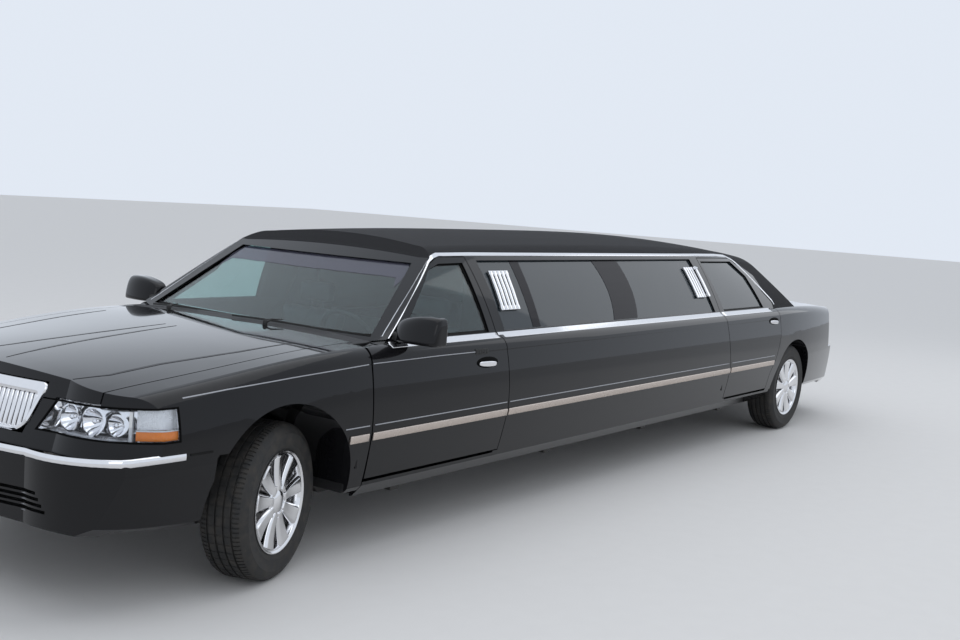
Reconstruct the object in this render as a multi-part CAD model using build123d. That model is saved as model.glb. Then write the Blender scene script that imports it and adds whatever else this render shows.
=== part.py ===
"""Stretch limousine: a four-door saloon lengthened between its front and rear doors.

Frame: +X forwards, +Y to the car's left, +Z up, millimetres.
Origin: on the ground, midway along the length, on the centre plane.
The car stands on its four tyres with its front wheels turned left.
"""

import os
from math import atan, cos, degrees, radians, sin, tan

from build123d import *

# Overall
length = 8265.0
wheelbase = 5784.0
front_overhang = 1055.0
front_axle_x = length / 2 - front_overhang
rear_axle_x = front_axle_x - wheelbase
nose_x = length / 2
tail_x = -length / 2

# Wheels, brakes and steering
tyre_radius = 350.0
tyre_width = 225.0
rim_radius = 229.0
rim_width = 196.0
bead_radius = 216.0
barrel_radius = 203.0
front_half_track = 805.0
rear_half_track = 833.0
kingpin_y = 770.0
steer_at_rest = 18.5
spoke_count = 9
hub_bore_radius = 22.0
spindle_radius = 21.7
disc_radius = 152.0
ball_joint_rise = 130.0
seat_gap = 0.3
pin_radius = 12.0
disc_y0 = -8.0
disc_y1 = 12.0

# Hinges: curved straps that slide in slots about each axis
door_axis_y = 992.0
front_door_axis_x = front_axle_x - 530.0
rear_door_axis_x = front_axle_x - 4500.0
strap_radius = 80.0
strap_half = 5.0
strap_height = 40.0
strap_rows = (470.0, 840.0)
strap_fit = 0.3
hood_axis_x = front_axle_x - 570.0
lid_axis_x = rear_axle_x - 290.0
lid_axis_z = 1045.0
goose_y = 600.0

# Running gear and cabin
gearbox_rear_x = front_axle_x - 1050.0
pipe_y = 300.0
pipe_z = 195.0
pipe_radius = 28.0
pipe_wall = 3.0
pipe_rear_x = tail_x + 230.0
steering_tilt = 62.0
column_bore = 10.0
partition_x = front_axle_x - 1760.0

# Lower body, its wall and its gaps
sill_bottom_z = 290.0
sill_top_z = 370.0
belt_z = 1008.0
belt_half_width = 905.0
wall = 70.0
skin_top = 34.0
fender_wall = 45.0
floor_half_width = 866.0
post_depth = 66.0
floor_z = 300.0
floor_sheet = 12.0
bumper_top_z = 632.0
panel_gap = 6.0
belt_seat = 1.0

# Door cut lines, behind the front axle
door_front_x = front_axle_x - 530.0
front_door_rear_x = front_axle_x - 1640.0
rear_door_front_x = front_axle_x - 4470.0
rear_door_rear_x = front_axle_x - 5450.0
door_bottom_z = sill_top_z + panel_gap
door_top_z = 1403.0
outer_plane_y = 1010.0
inner_plane_y = 500.0

# Roof and glass
roof_wall = 45.0
vinyl_thickness = 12.0
glass_outer = 12.0
glass_inner = 18.0
rail_z = 1409.0
windshield_base_x = front_axle_x - 600.0
windshield_base_z = 1000.0
windshield_rake = 34.0
windshield_bow = 63.0
backlight_base_x = rear_axle_x - 225.0
backlight_base_z = 1005.0
backlight_rake = 33.0
backlight_bow = 110.0

# Wheel arches
front_arch_radius = 428.0
front_arch_z = 372.0
rear_arch_radius = 398.0
rear_arch_z = 352.0
liner = 8.0
front_apron_y = 478.0
rear_apron_y = 692.0

# Hood, trunk lid and lamps
hood_rear_x = front_axle_x - 500.0
hood_corner_x = front_axle_x + 830.0
hood_half_width = 800.0
cowl_half_width = 838.0
lid_front_x = rear_axle_x - 300.0
lid_half_width = 705.0
lid_face_half_width = 560.0
nose_setback = 115.0
tail_setback = 62.0
lamp_inner_y = 450.0
lamp_rear_x = front_axle_x + 580.0
lamp_bottom_z = 706.0
lamp_top_z = 834.0
lamp_slant = 70.0
lamp_rise = 10.0
lens_wall = 6.0

# Front bumper's air slots
slot_count = 4
slot_low_z = 432.0
slot_pitch = 22.0
slot_height = 13.0
slot_half_width = 690.0

# Grille
bar_pitch = 27.0
bar_width = 15.0
grille_top_half = 455.0
grille_foot_half = 390.0
grille_foot_z = 684.0
grille_top_z = 888.0

# Frame
rail_inner_y = 400.0
rail_outer_y = 455.0
rail_height = 100.0
rail_low_z = 185.0
cross_z = 235.0
cross_rows = (-900.0, -2300.0, -3500.0, -4700.0)
rail_high_z = 400.0
rear_rail_z = 440.0
rear_floor_z = 540.0
tunnel_top_z = 430.0


def ring(x, half, bulges, crown_z):
    """Closed wire across the car at x: half lists (y, z) from the foot up, one bulge per side run."""
    edges = [Line((x, -half[0][0], half[0][1]), (x, half[0][0], half[0][1]))]
    for side in (1, -1):
        for (y0, z0), (y1, z1), bulge in zip(half, half[1:], bulges):
            run = Vector(0, y1 - y0, z1 - z0)
            out = Vector(0, run.Z, -run.Y).normalized() * bulge
            middle = Vector(x, (y0 + y1) / 2, (z0 + z1) / 2) + out
            if bulge:
                edges.append(
                    ThreePointArc((x, side * y0, z0), (x, side * middle.Y, middle.Z), (x, side * y1, z1))
                )
            else:
                edges.append(Line((x, side * y0, z0), (x, side * y1, z1)))
    top_y, top_z = half[-1]
    edges.append(ThreePointArc((x, top_y, top_z), (x, 0, crown_z), (x, -top_y, top_z)))
    return Wire(edges)


def box(x0, x1, y0, y1, z0, z1):
    """Box between two corners."""
    return Pos((x0 + x1) / 2, (y0 + y1) / 2, (z0 + z1) / 2) * Box(x1 - x0, abs(y1 - y0), z1 - z0)


def side_prism(points, y0, y1):
    """Prism of a side-view outline, from y0 to y1."""
    face = Face(Wire(Polyline([(x, y0, z) for x, z in points], close=True)))
    return Solid.extrude(face, Vector(0, y1 - y0, 0))


def plan_prism(edges, z0, z1):
    """Prism of a plan outline drawn at z0, up to z1."""
    return Solid.extrude(Face(Wire(edges)), Vector(0, 0, z1 - z0))


def cylinder_y(x, z, radius, y0, y1):
    """Cylinder along Y."""
    return Pos(x, (y0 + y1) / 2, z) * Rot(90, 0, 0) * Cylinder(radius, abs(y1 - y0))


def mirrored(shape):
    """The same piece on the other side of the car."""
    return mirror(shape, Plane.XZ)


def one(shape):
    """The single solid of a result, or its largest if a cut left crumbs."""
    return max(shape.solids(), key=lambda s: s.volume)


def write(node, *solids):
    """Writes one node as a STEP file."""
    found = [s for shape in solids for s in shape.solids()]
    export_step(found[0] if len(found) == 1 else Compound(found), f"parts/{node}.step")


# Lower body sections. Columns: x, foot half width, foot z, sill width and z,
# widest half width and z, shoulder width and z, top edge width and z, crown z.
body_bulges = (0, 3, 10, 16)
front_rows = [
    (nose_x + 30, 760, 395, 810, 440, 872, 575, 850, 735, 720, 800, 905),
    (front_axle_x + 700, 850, 330, 905, 372, 958, 592, 935, 820, 845, 888, 958),
    (front_axle_x + 250, 870, 298, 932, 355, 982, 605, 957, 872, 884, 944, 996),
    (front_axle_x - 150, 880, 290, 940, 352, 989, 610, 963, 915, 902, 988, 1022),
    (front_axle_x - 530, 880, 290, 940, 352, 990, 610, 965, 930, 905, 1006, 1038),
    (front_axle_x - 800, 880, 290, 940, 352, 990, 610, 965, 930, 905, 1008, 1040),
]
middle_row = (0, 880, 290, 940, 352, 990, 610, 965, 930, belt_half_width, belt_z, 1040)
rear_rows = [
    (rear_axle_x + 350, 880, 290, 940, 352, 990, 610, 965, 930, 905, 1008, 1040),
    (rear_axle_x - 150, 874, 290, 934, 352, 982, 612, 958, 926, 895, 1008, 1038),
    (rear_axle_x - 700, 842, 285, 897, 345, 947, 612, 925, 915, 855, 990, 1018),
    (rear_axle_x - 1150, 785, 275, 842, 335, 893, 610, 872, 895, 795, 955, 985),
    (tail_x - 30, 735, 275, 790, 335, 842, 605, 820, 855, 735, 905, 938),
]


def body_wire(row, side=0.0, top=0.0, foot=0.0):
    """One lower body section, drawn in by the given wall thicknesses."""
    x, w0, z0, w1, z1, w2, z2, w3, z3, w4, z4, crown = row
    half = [
        (w0 - side, z0 + foot),
        (w1 - side, z1 + foot),
        (w2 - side, z2),
        (w3 - side, z3 - top / 2),
        (w4 - side, z4 - top),
    ]
    return ring(x, half, body_bulges, crown - top)


def body_loft(rows, side=0.0, top=0.0, foot=0.0):
    """Lower body solid through its sections."""
    return Solid.make_loft([body_wire(row, side, top, foot) for row in rows])


# Plan of the body ends: half width of the bowed face, how far the corner's middle stands in from the side,
# how far it stands back from the tip, and how far back the side begins
nose_corner = (560, 62, 205, 500)
tail_corner = (480, 165, 250, 740)


def end_plan(tip_x, sign, width, z0, way):
    """Nose (sign 1) or tail (sign -1) form: bowed face, round corners, straight sides, extruded along way."""
    face_y, corner_in, corner_back, side_back = nose_corner if sign > 0 else tail_corner
    face_x = tip_x - sign * 62
    corner_y, corner_x = width - corner_in, tip_x - sign * corner_back
    side_y, side_x, far_x = width + 30, tip_x - sign * side_back, tip_x - sign * 2400
    edges = [ThreePointArc((face_x, -face_y, z0), (tip_x, 0, z0), (face_x, face_y, z0))]
    for side in (1, -1):
        edges.append(
            ThreePointArc(
                (face_x, side * face_y, z0), (corner_x, side * corner_y, z0), (side_x, side * side_y, z0)
            )
        )
        edges.append(Line((side_x, side * side_y, z0), (far_x, side * side_y, z0)))
    edges.append(Line((far_x, -side_y, z0), (far_x, side_y, z0)))
    return Solid.extrude(Face(Wire(edges)), Vector(*way))


def nose_form(side, top, foot, setback):
    """Front body form drawn in by its walls: the upright bumper below, the raked nose above."""
    form = body_loft(front_rows, side, top, foot)
    low = end_plan(nose_x - setback, 1, 985 - side, 0, (0, 0, bumper_top_z))
    high = end_plan(nose_x - nose_setback - setback, 1, 985 - side, bumper_top_z, (-150, 0, 540))
    return one(form & low), one(form & high)


def tail_form(side, top, foot, setback):
    """Rear body form drawn in by its walls: the upright bumper below, the raked tail above."""
    form = body_loft(rear_rows, side, top, foot)
    low = end_plan(tail_x + setback, -1, 955 - side, 0, (0, 0, bumper_top_z))
    high = end_plan(tail_x + tail_setback + setback, -1, 955 - side, bumper_top_z, (70, 0, 540))
    return one(form & low), one(form & high)


# Greenhouse sections. Columns: x, foot half width, rail half width and z, crown edge half width and z,
# crown z.
roof_bulges = (13, 14)
roof_rows = [
    (front_axle_x - 420, 902, 700, 1352, 540, 1402, 1420),
    (front_axle_x - 1150, 902, 700, 1400, 545, 1452, 1480),
    (front_axle_x - 2100, 902, 702, 1409, 550, 1474, 1516),
    (front_axle_x - 3300, 902, 702, 1409, 550, 1478, 1525),
    (front_axle_x - 4400, 902, 700, 1405, 548, 1466, 1508),
    (front_axle_x - 5050, 902, 694, 1372, 545, 1430, 1462),
    (front_axle_x - 5700, 896, 680, 1300, 540, 1352, 1385),
    (front_axle_x - 6300, 870, 660, 1215, 530, 1262, 1290),
]


def roof_loft(inset):
    """Greenhouse solid without its raked ends, drawn in by inset."""
    wires = []
    for x, foot_y, rail_y, z_rail, edge_y, z_edge, crown in roof_rows:
        half = [
            (foot_y - inset, belt_z),
            (rail_y - inset, z_rail - inset * 0.6),
            (edge_y - inset * 0.5, z_edge - inset * 0.9),
        ]
        wires.append(ring(x, half, roof_bulges, crown - inset))
    return Solid.make_loft(wires)


def raked_end(base_x, base_z, rake, bow, sign, inset):
    """Solid behind a bowed, raked glass surface: sign 1 for the windscreen, -1 for the rear screen."""
    reach, half = 2300.0, 900.0
    shift = sign * inset / sin(radians(rake))
    drop = 400.0
    start_z = base_z - drop
    x0 = base_x - shift + sign * drop / tan(radians(rake))
    edge_x = x0 - sign * bow
    arc = ThreePointArc((edge_x, -half, start_z), (x0, 0, start_z), (edge_x, half, start_z))
    far = x0 - sign * 9000.0
    edges = [
        arc,
        Line((x0 - sign * bow, half, start_z), (far, half, start_z)),
        Line((far, half, start_z), (far, -half, start_z)),
        Line((far, -half, start_z), (x0 - sign * bow, -half, start_z)),
    ]
    way = Vector(-sign * cos(radians(rake)), 0, sin(radians(rake))) * reach
    return Solid.extrude(Face(Wire(edges)), way)


def greenhouse(inset):
    """Closed greenhouse form from the belt up, drawn in by inset."""
    form = roof_loft(inset)
    form = form & raked_end(windshield_base_x, windshield_base_z, windshield_rake, windshield_bow, 1, inset)
    rear_end = raked_end(backlight_base_x, backlight_base_z, backlight_rake, backlight_bow, -1, inset)
    return one(form & rear_end)


def door_plug(rows, grow):
    """Plug whose edges lean in with depth, and with a gap all round when grow is set.

    rows hold x and z on the outer plane, then the lean of x and z over the plug's depth.
    """
    wires = []
    for y, share in ((outer_plane_y, 0.0), (inner_plane_y, 1.0)):
        wire = Wire(Polyline([(x + dx * share, z + dz * share, 0) for x, z, dx, dz in rows], close=True))
        if grow:
            wire = wire.offset_2d(grow, kind=Kind.INTERSECTION)
        corners = [edge.position_at(0) for edge in wire.edges()]
        wires.append(Wire(Polyline([(p.X, y, p.Y) for p in corners], close=True)))
    return Solid.make_loft(wires, ruled=True)


# Plugs of the doors. Columns: x, z on the outer plane, lean of x, lean of z.
depth = outer_plane_y - inner_plane_y
lean_back = 0.34 * depth
lean_front = -0.1 * depth
lean_top = -0.2 * depth
lean_foot = 0.16 * depth
lean_pillar = -0.2 * depth
top_z = rail_z - 4 + 0.2 * (outer_plane_y - 700)
rear_top_z = top_z - 12
front_door_rows = [
    (door_front_x, door_bottom_z, lean_front, lean_foot),
    (front_door_rear_x, door_bottom_z, lean_back, lean_foot),
    (front_door_rear_x, top_z, lean_back, lean_top),
    (front_axle_x - 1270, top_z, lean_front, lean_top),
    (front_axle_x - 1165, top_z - 35, lean_pillar, lean_top),
    (front_axle_x - 700, belt_z + 28, lean_pillar, lean_front),
    (door_front_x, belt_z + 4, lean_front, lean_front),
]
rear_door_rows = [
    (rear_door_front_x - 30, door_bottom_z, lean_front, lean_foot),
    (rear_axle_x + liner + 470, door_bottom_z, lean_back, lean_foot),
    (rear_axle_x + liner + 470, door_bottom_z + 130, lean_back, lean_foot),
    (rear_axle_x + 392, 690, lean_back, lean_foot * 0.3),
    (rear_door_rear_x + 10, 800, lean_back, 0),
    (rear_door_rear_x, 960, lean_back, 0),
    (rear_axle_x + 300, belt_z + 60, lean_back, lean_front),
    (rear_axle_x + 610, rear_top_z - 60, lean_back, lean_top),
    (rear_axle_x + 700, rear_top_z, lean_back, lean_top),
    (front_axle_x - 4335, rear_top_z, lean_front, lean_top),
    (front_axle_x - 4430, belt_z, lean_front, 0),
    (rear_door_front_x - 30, 600, lean_front, 0),
]


def window(points):
    """Window-shaped prism through the left side of the greenhouse."""
    return side_prism(points, 500, 1100)


front_window = [
    (front_axle_x - 800, belt_z + 14),
    (front_axle_x - 1195, rail_z - 64),
    (front_axle_x - 1290, rail_z - 36),
    (front_axle_x - 1500, rail_z - 32),
    (front_axle_x - 1545, belt_z + 14),
]
stretch_window = [
    (front_axle_x - 1690, belt_z + 14),
    (front_axle_x - 1632, rail_z - 20),
    (front_axle_x - 4235, rail_z - 20),
    (front_axle_x - 4360, belt_z + 14),
]
rear_window = [
    (front_axle_x - 4512, belt_z + 14),
    (front_axle_x - 4400, rail_z - 36),
    (front_axle_x - 4960, rail_z - 40),
    (front_axle_x - 5130, 1260),
    (front_axle_x - 5240, belt_z + 14),
]


screen_corners = [(-800, 1030), (800, 1030), (632, 1370), (-632, 1370)]
backlight_corners = [(-700, 1040), (700, 1040), (585, 1340), (-585, 1340)]
vinyl_outline = [
    (front_axle_x - 1225, 1600),
    (front_axle_x - 1225, 1400),
    (front_axle_x - 1300, rail_z + 4),
    (front_axle_x - 4400, rail_z + 4),
    (front_axle_x - 4990, 1400),
    (front_axle_x - 5300, 1262),
    (front_axle_x - 5420, belt_z + 20),
    (front_axle_x - 5420, belt_z - 5),
    (front_axle_x - 6200, belt_z - 5),
    (front_axle_x - 6200, 1600),
]


def wall_face(x):
    """Section through the left wall of the body at x: skin outside, flat lining inside."""
    outer = [(middle_row[i], middle_row[i + 1]) for i in (1, 3, 5, 7, 9)]
    edges = []
    for (y0, z0), (y1, z1), bulge in zip(outer, outer[1:], body_bulges):
        run = Vector(0, y1 - y0, z1 - z0)
        out = Vector(0, run.Z, -run.Y).normalized() * bulge
        middle = ((y0 + y1) / 2 + out.Y, (z0 + z1) / 2 + out.Z)
        if bulge:
            edges.append(ThreePointArc((x, y0, z0), (x, *middle), (x, y1, z1)))
        else:
            edges.append(Line((x, y0, z0), (x, y1, z1)))
    inner = [outer[-1], (belt_half_width - wall, belt_z), (880, 900), (888, 600)]
    inner += [(floor_half_width, sill_top_z + 30), (floor_half_width, outer[0][1]), outer[0]]
    edges += [Line((x, *a), (x, *b)) for a, b in zip(inner, inner[1:])]
    return Face(Wire(edges))


def wall_length(x0, x1):
    """Left wall of the body between two stations."""
    return Solid.extrude(wall_face(x0), Vector(x1 - x0, 0, 0))


# The two body ends: outer forms less inner forms give the skins
os.makedirs("parts", exist_ok=True)
nose_low, nose_high = nose_form(0, 0, 0, 0)
nose_low_in, nose_high_in = nose_form(fender_wall, skin_top, -200, fender_wall)
tail_low, tail_high = tail_form(0, 0, 0, 0)
tail_low_in, tail_high_in = tail_form(fender_wall, skin_top, -200, fender_wall)

cabin_outer = greenhouse(0)
cabin_skin = greenhouse(vinyl_thickness)
cabin_glass_in = greenhouse(glass_inner)
cabin_inner = greenhouse(roof_wall)
cabin_shell = one(cabin_outer - cabin_inner)
glass_layer = one(cabin_skin - cabin_glass_in)


def arc_band(radius, half, start, end, height):
    """Flat curved band about the origin in the XY plane; angles run from -Y towards +X."""
    def at(r, angle):
        return (r * sin(radians(angle)), -r * cos(radians(angle)))

    middle = (start + end) / 2
    inner, outer = radius - half, radius + half
    edges = [
        ThreePointArc(at(inner, start), at(inner, middle), at(inner, end)),
        Line(at(inner, end), at(outer, end)),
        ThreePointArc(at(outer, end), at(outer, middle), at(outer, start)),
        Line(at(outer, start), at(inner, start)),
    ]
    return Pos(0, 0, -height / 2) * Solid.extrude(Face(Wire(edges)), Vector(0, 0, height))


def door_straps(axis_x, start, end, fit):
    """The two hinge straps of a left door, or their slots when fit is set."""
    band = arc_band(strap_radius, strap_half + fit, start, end, strap_height + 2 * fit)
    low, high = strap_rows
    return Pos(axis_x, door_axis_y, low) * band + Pos(axis_x, door_axis_y, high) * band


def goose_straps(axis_x, start, end, radius, fit):
    """The two goose-neck straps of the hood or the trunk lid; angles run from below towards the front."""
    band = arc_band(radius, strap_half + fit, start, end, strap_height + 2 * fit)
    band = Rot(90, 0, 0) * band
    left = Pos(axis_x, goose_y, lid_axis_z) * band
    return left + mirrored(left)


# Doors and their plugs
plugs = {"front": door_plug(front_door_rows, 0), "rear": door_plug(rear_door_rows, 0)}
gaps = {"front": door_plug(front_door_rows, panel_gap), "rear": door_plug(rear_door_rows, panel_gap)}
windows = {"front": window(front_window), "rear": window(rear_window)}
side_wall = wall_length(door_front_x, rear_rows[0][0])
axes = {"front": front_door_axis_x, "rear": rear_door_axis_x}
for name, plug in plugs.items():
    door = one((side_wall & plug) + (cabin_shell & plug))
    pane = one(glass_layer & windows[name])
    door = one(door - windows[name] + door_straps(axes[name], -26, 72, 0))
    write(f"{name}_door_left", door)
    write(f"{name}_door_right", mirrored(door))
    write(f"{name}_door_glass_left", pane)
    write(f"{name}_door_glass_right", mirrored(pane))

# Hood, header panel, lamps and grille
big = 3000.0


def lamp_prism(grow):
    """Front view of the left headlamp, extruded forwards from its rear end."""
    points = [
        (lamp_inner_y - grow, lamp_bottom_z - grow),
        (1010, lamp_bottom_z - grow),
        (1010, lamp_top_z + lamp_rise + grow),
        (lamp_inner_y + lamp_slant - grow, lamp_top_z + grow),
    ]
    x = lamp_rear_x - grow
    face = Face(Wire(Polyline([(x, y, z) for y, z in points], close=True)))
    return Solid.extrude(face, Vector(nose_x - x, 0, 0))


def grille_prism(grow):
    """Front view of the grille opening, extruded along the car."""
    top, foot = grille_top_half + grow, grille_foot_half + grow
    z0, z1 = grille_foot_z - grow, grille_top_z + grow
    points = [(-foot, z0), (foot, z0), (top, z1), (-top, z1)]
    face = Face(Wire(Polyline([(nose_x - 400, y, z) for y, z in points], close=True)))
    return Solid.extrude(face, Vector(400, 0, 0))


def hood_prism(grow):
    """Space of the hood: in plan between the fenders, in side view above the lamps."""
    rear_x, side_x = hood_rear_x - grow, hood_rear_x - 60 - grow
    half, waist, front = hood_half_width + grow, 792 + grow, 742 + grow
    z = lamp_top_z - grow
    edges = [ThreePointArc((side_x, half, z), (rear_x, 0, z), (side_x, -half, z))]
    for side in (1, -1):
        edges += [
            ThreePointArc(
                (side_x, side * half, z),
                (front_axle_x + 250, side * waist, z),
                (hood_corner_x, side * front, z),
            ),
            Line((hood_corner_x, side * front, z), (nose_x, side * (front - 20), z)),
        ]
    edges.append(Line((nose_x, -front + 20, z), (nose_x, front - 20, z)))
    return plan_prism(edges, z, 1100)


hood_gap = hood_prism(panel_gap)
nose_skin = one(nose_high - nose_high_in)
hood = one(one(nose_skin & hood_prism(0)) - grille_prism(panel_gap) - lamp_prism(panel_gap)
    - mirrored(lamp_prism(panel_gap)))
hood = one(hood + goose_straps(hood_axis_x, -58, 68, 100, 0))
write("hood", hood)

cowl_block = box(front_axle_x - 690, hood_rear_x, -cowl_half_width, cowl_half_width, 930, 1100)
cowl = one(((nose_high & cowl_block) - hood_gap) - cabin_outer)
firewall = box(door_front_x, door_front_x + 25, -cowl_half_width, cowl_half_width, floor_z, 930)
firewall = firewall - box(door_front_x - 1, nose_x, -104, 104, 0, tunnel_top_z - 16)
for side in (1, -1):
    y0, y1 = sorted((side * (rail_inner_y - 4), side * (rail_outer_y + 4)))
    firewall = firewall - box(door_front_x - 1, nose_x, y0, y1, 0, rail_high_z + rail_height + 4)
slots = door_straps(front_door_axis_x, -40, 74, strap_fit)
hood_slots = goose_straps(hood_axis_x, -62, 120, 100, strap_fit)
nose_inside = one(nose_high_in + nose_low_in)
post = box(door_front_x + panel_gap, door_front_x + post_depth, cowl_half_width - 8, big, sill_top_z, 930)
post = one(post & nose_inside)
cowl = one(cowl + firewall + post + mirrored(post))
cowl_gap = gaps["front"] & box(-big, big, cowl_half_width - 8, big, 0, 2000)
cowl = one(cowl - cowl_gap - mirrored(cowl_gap) - slots - mirrored(slots) - hood_slots)
write("cowl", cowl)


lamp_gap = lamp_prism(0)
arch_front = cylinder_y(front_axle_x, front_arch_z, front_arch_radius, -big, big)
arch_rear = cylinder_y(rear_axle_x, rear_arch_z, rear_arch_radius, -big, big)
open_skin = one(nose_skin - hood_gap - lamp_gap - mirrored(lamp_gap) - grille_prism(0) - cowl_block)
split_x = lamp_rear_x - 20
header = one(open_skin & box(split_x, nose_x, -big, big, 500, 1100))
write("header_panel", header)

front_liner = cylinder_y(front_axle_x, front_arch_z, front_arch_radius + liner, front_apron_y, big)
front_liner = one(front_liner - arch_front)
front_liner = one(front_liner & box(nose_x - 1500, nose_x - 600, 0, big, front_arch_z, 900))
front_liner = one(front_liner & nose_inside)
apron = cylinder_y(
    front_axle_x, front_arch_z, front_arch_radius + liner, front_apron_y, front_apron_y + liner
)
apron = one(apron & box(nose_x - 1500, nose_x - 600, 0, big, 500, 900))
shelf = box(front_axle_x - 400, front_axle_x + 400, rail_inner_y, front_apron_y + liner, 500, 508)
strut = box(door_front_x + 25, front_axle_x - 380, front_apron_y, front_apron_y + liner, 500, 600)
low_skin = one(nose_low - nose_low_in)
side_skin = open_skin + (low_skin & box(door_front_x, front_axle_x - 300, -big, big, 200, bumper_top_z))
fender = side_skin & box(door_front_x + panel_gap, split_x, 0, big, 200, 1100)
fender = one(one(fender) - arch_front)
fender = fender + front_liner + apron + shelf + strut - post - slots
write("front_fenders", one(fender), mirrored(one(fender)))

bumper = one(low_skin & box(front_axle_x + 400, nose_x + 10, -big, big, 200, bumper_top_z)) - arch_front
for k in range(slot_count):
    z = slot_low_z + slot_pitch * k
    half = slot_half_width - 18 * k
    bumper = bumper - box(nose_x - 200, nose_x + 10, -half, half, z, z + slot_height)
write("front_bumper", one(bumper))

lens_form = nose_form(lens_wall, lens_wall, -200, lens_wall)[1]
bowl_form = nose_form(12, 12, -200, 14)[1]
bowl_back = nose_form(80, 60, -200, 90)[1]
lens = one(one(nose_high - lens_form) & lamp_prism(0))
bowl = one(one(bowl_form - bowl_back) & lamp_prism(0))
write("headlamp_lenses", lens, mirrored(lens))
write("headlamp_housings", bowl, mirrored(bowl))

grille_face = end_plan(nose_x - nose_setback + 6, 1, 985, bumper_top_z, (-150, 0, 540))
grille_back = end_plan(nose_x - nose_setback - 24, 1, 985, bumper_top_z, (-150, 0, 540))
grille_slab = one(grille_face - grille_back)
frame_ring = grille_slab & (grille_prism(0) - grille_prism(-22))
bars = [
    grille_slab & (box(nose_x - 300, nose_x, y - bar_width / 2, y + bar_width / 2, 600, 900) & grille_prism(-21))
    for y in [bar_pitch * k for k in range(-16, 17)]
]
grille = frame_ring + [b for b in bars if b]
write("grille", one(grille))

# Upper frame, vinyl roof and fixed glass
stretch_zone = side_prism(
    [
        (front_door_rear_x + 60, belt_z - 10),
        (front_door_rear_x + 60, rail_z - 12),
        (front_axle_x - 4280, rail_z - 12),
        (front_axle_x - 4600, belt_z - 10),
    ],
    500,
    1100,
)
screen_cut = Solid.extrude(
    Face(Wire(Polyline([(front_axle_x - 1700, y, z) for y, z in screen_corners], close=True))), Vector(1300, 0, 0)
)
rear_cut = Solid.extrude(
    Face(Wire(Polyline([(rear_axle_x - 400, y, z) for y, z in backlight_corners], close=True))), Vector(1250, 0, 0)
)
write("windshield", one(glass_layer & screen_cut))
write("rear_glass", one(glass_layer & rear_cut & box(rear_axle_x - 400, rear_axle_x + 900, -big, big, 900, 1500)))
vinyl_region = side_prism(vinyl_outline, -big, big)
vinyl = one(cabin_outer - cabin_skin) & vinyl_region
vinyl = one(vinyl - rear_cut - gaps["rear"] - mirrored(gaps["rear"]))
upper = cabin_shell - screen_cut - rear_cut - gaps["front"] - gaps["rear"] - mirrored(gaps["front"])
upper = upper - mirrored(gaps["rear"]) - stretch_zone - mirrored(stretch_zone)
upper = upper - vinyl
write("vinyl_roof", vinyl)
write("upper_frame", upper)

stretch = side_wall & box(rear_door_front_x - 60, front_door_rear_x + 60, 0, big, sill_top_z, belt_z)
stretch = one(stretch) + one(cabin_shell & stretch_zone)
stretch = one(stretch - gaps["front"] - gaps["rear"]) - window(stretch_window)
stretch = one(stretch - door_straps(rear_door_axis_x, -40, 74, strap_fit))
write("stretch_panels", stretch, mirrored(stretch))
pane = one(glass_layer & window(stretch_window))
write("stretch_glass", pane, mirrored(pane))
rocker = side_wall & box(rear_axle_x + rear_arch_radius + 20, door_front_x, 0, big, 0, sill_top_z)
write("rocker_panels", rocker, mirrored(rocker))

# Rear body, trunk lid, bumper and lamps
def lid_prism(grow):
    """Space of the trunk lid: its deck and the rear face between the lamps."""
    deck = box(tail_x - 10, lid_front_x + grow, -lid_half_width - grow, lid_half_width + grow, 884 - grow, 1100)
    face = box(
        tail_x - 10, tail_x + 400, -lid_face_half_width - grow, lid_face_half_width + grow, 640 - grow, 1100
    )
    return deck + face


tail_skin = one(tail_high - tail_high_in)
write("trunk_lid", one(one(tail_skin & lid_prism(0)) + goose_straps(lid_axis_x, -74, 64, 150, 0)))


def tail_lamp_prism(grow):
    """Rear view of the left tail lamp, extruded forwards into the corner."""
    return box(tail_x - 10, tail_x + 290 + grow, lid_face_half_width + 12 - grow, 1010, 680 - grow, 870 + grow)


lamp_back = tail_form(50, 40, -200, 55)[1]
tail_lamp = one(one(tail_high - lamp_back) & tail_lamp_prism(0))
write("tail_lamps", tail_lamp, mirrored(tail_lamp))

tail_low_skin = one(tail_low - tail_low_in)
bumper_front_x = rear_axle_x - rear_arch_radius - 70
quarter = tail_skin + (tail_low_skin & box(bumper_front_x, rear_axle_x + 350, -big, big, 200, bumper_top_z))
corner = side_wall & box(rear_axle_x + 350, rear_axle_x + 500, 0, big, sill_top_z, belt_z)
quarter = quarter + corner + mirrored(corner)
quarter = quarter - arch_rear - lid_prism(panel_gap) - tail_lamp_prism(0) - mirrored(tail_lamp_prism(0))
quarter = quarter - gaps["rear"] - mirrored(gaps["rear"]) - cabin_outer
inside = one(tail_high_in) + tail_low_in
rear_liner = cylinder_y(rear_axle_x, rear_arch_z, rear_arch_radius + liner, rear_apron_y, big)
rear_liner = one(one(rear_liner - arch_rear) & box(rear_axle_x - 500, rear_axle_x + 340, 0, big, rear_arch_z, 900))
rear_liner = one(rear_liner & inside)
rear_apron = cylinder_y(rear_axle_x, rear_arch_z, rear_arch_radius + liner, rear_apron_y, rear_apron_y + liner)
rear_apron = one(rear_apron & box(rear_axle_x - 500, rear_axle_x + 340, 0, big, rear_floor_z, 900))
rear_floor = inside & box(tail_x + 120, rear_axle_x + 349, -big, big, rear_floor_z, rear_floor_z + liner)
rear_floor = one(rear_floor - cylinder_y(rear_axle_x, rear_arch_z, rear_arch_radius + liner, rear_apron_y, big)
    - cylinder_y(rear_axle_x, rear_arch_z, rear_arch_radius + liner, -big, -rear_apron_y))
quarter = quarter + rear_floor + rear_liner + mirrored(rear_liner) + rear_apron + mirrored(rear_apron)
bracket_x0, bracket_x1 = lid_axis_x - 46, lid_axis_x + 34
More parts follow.
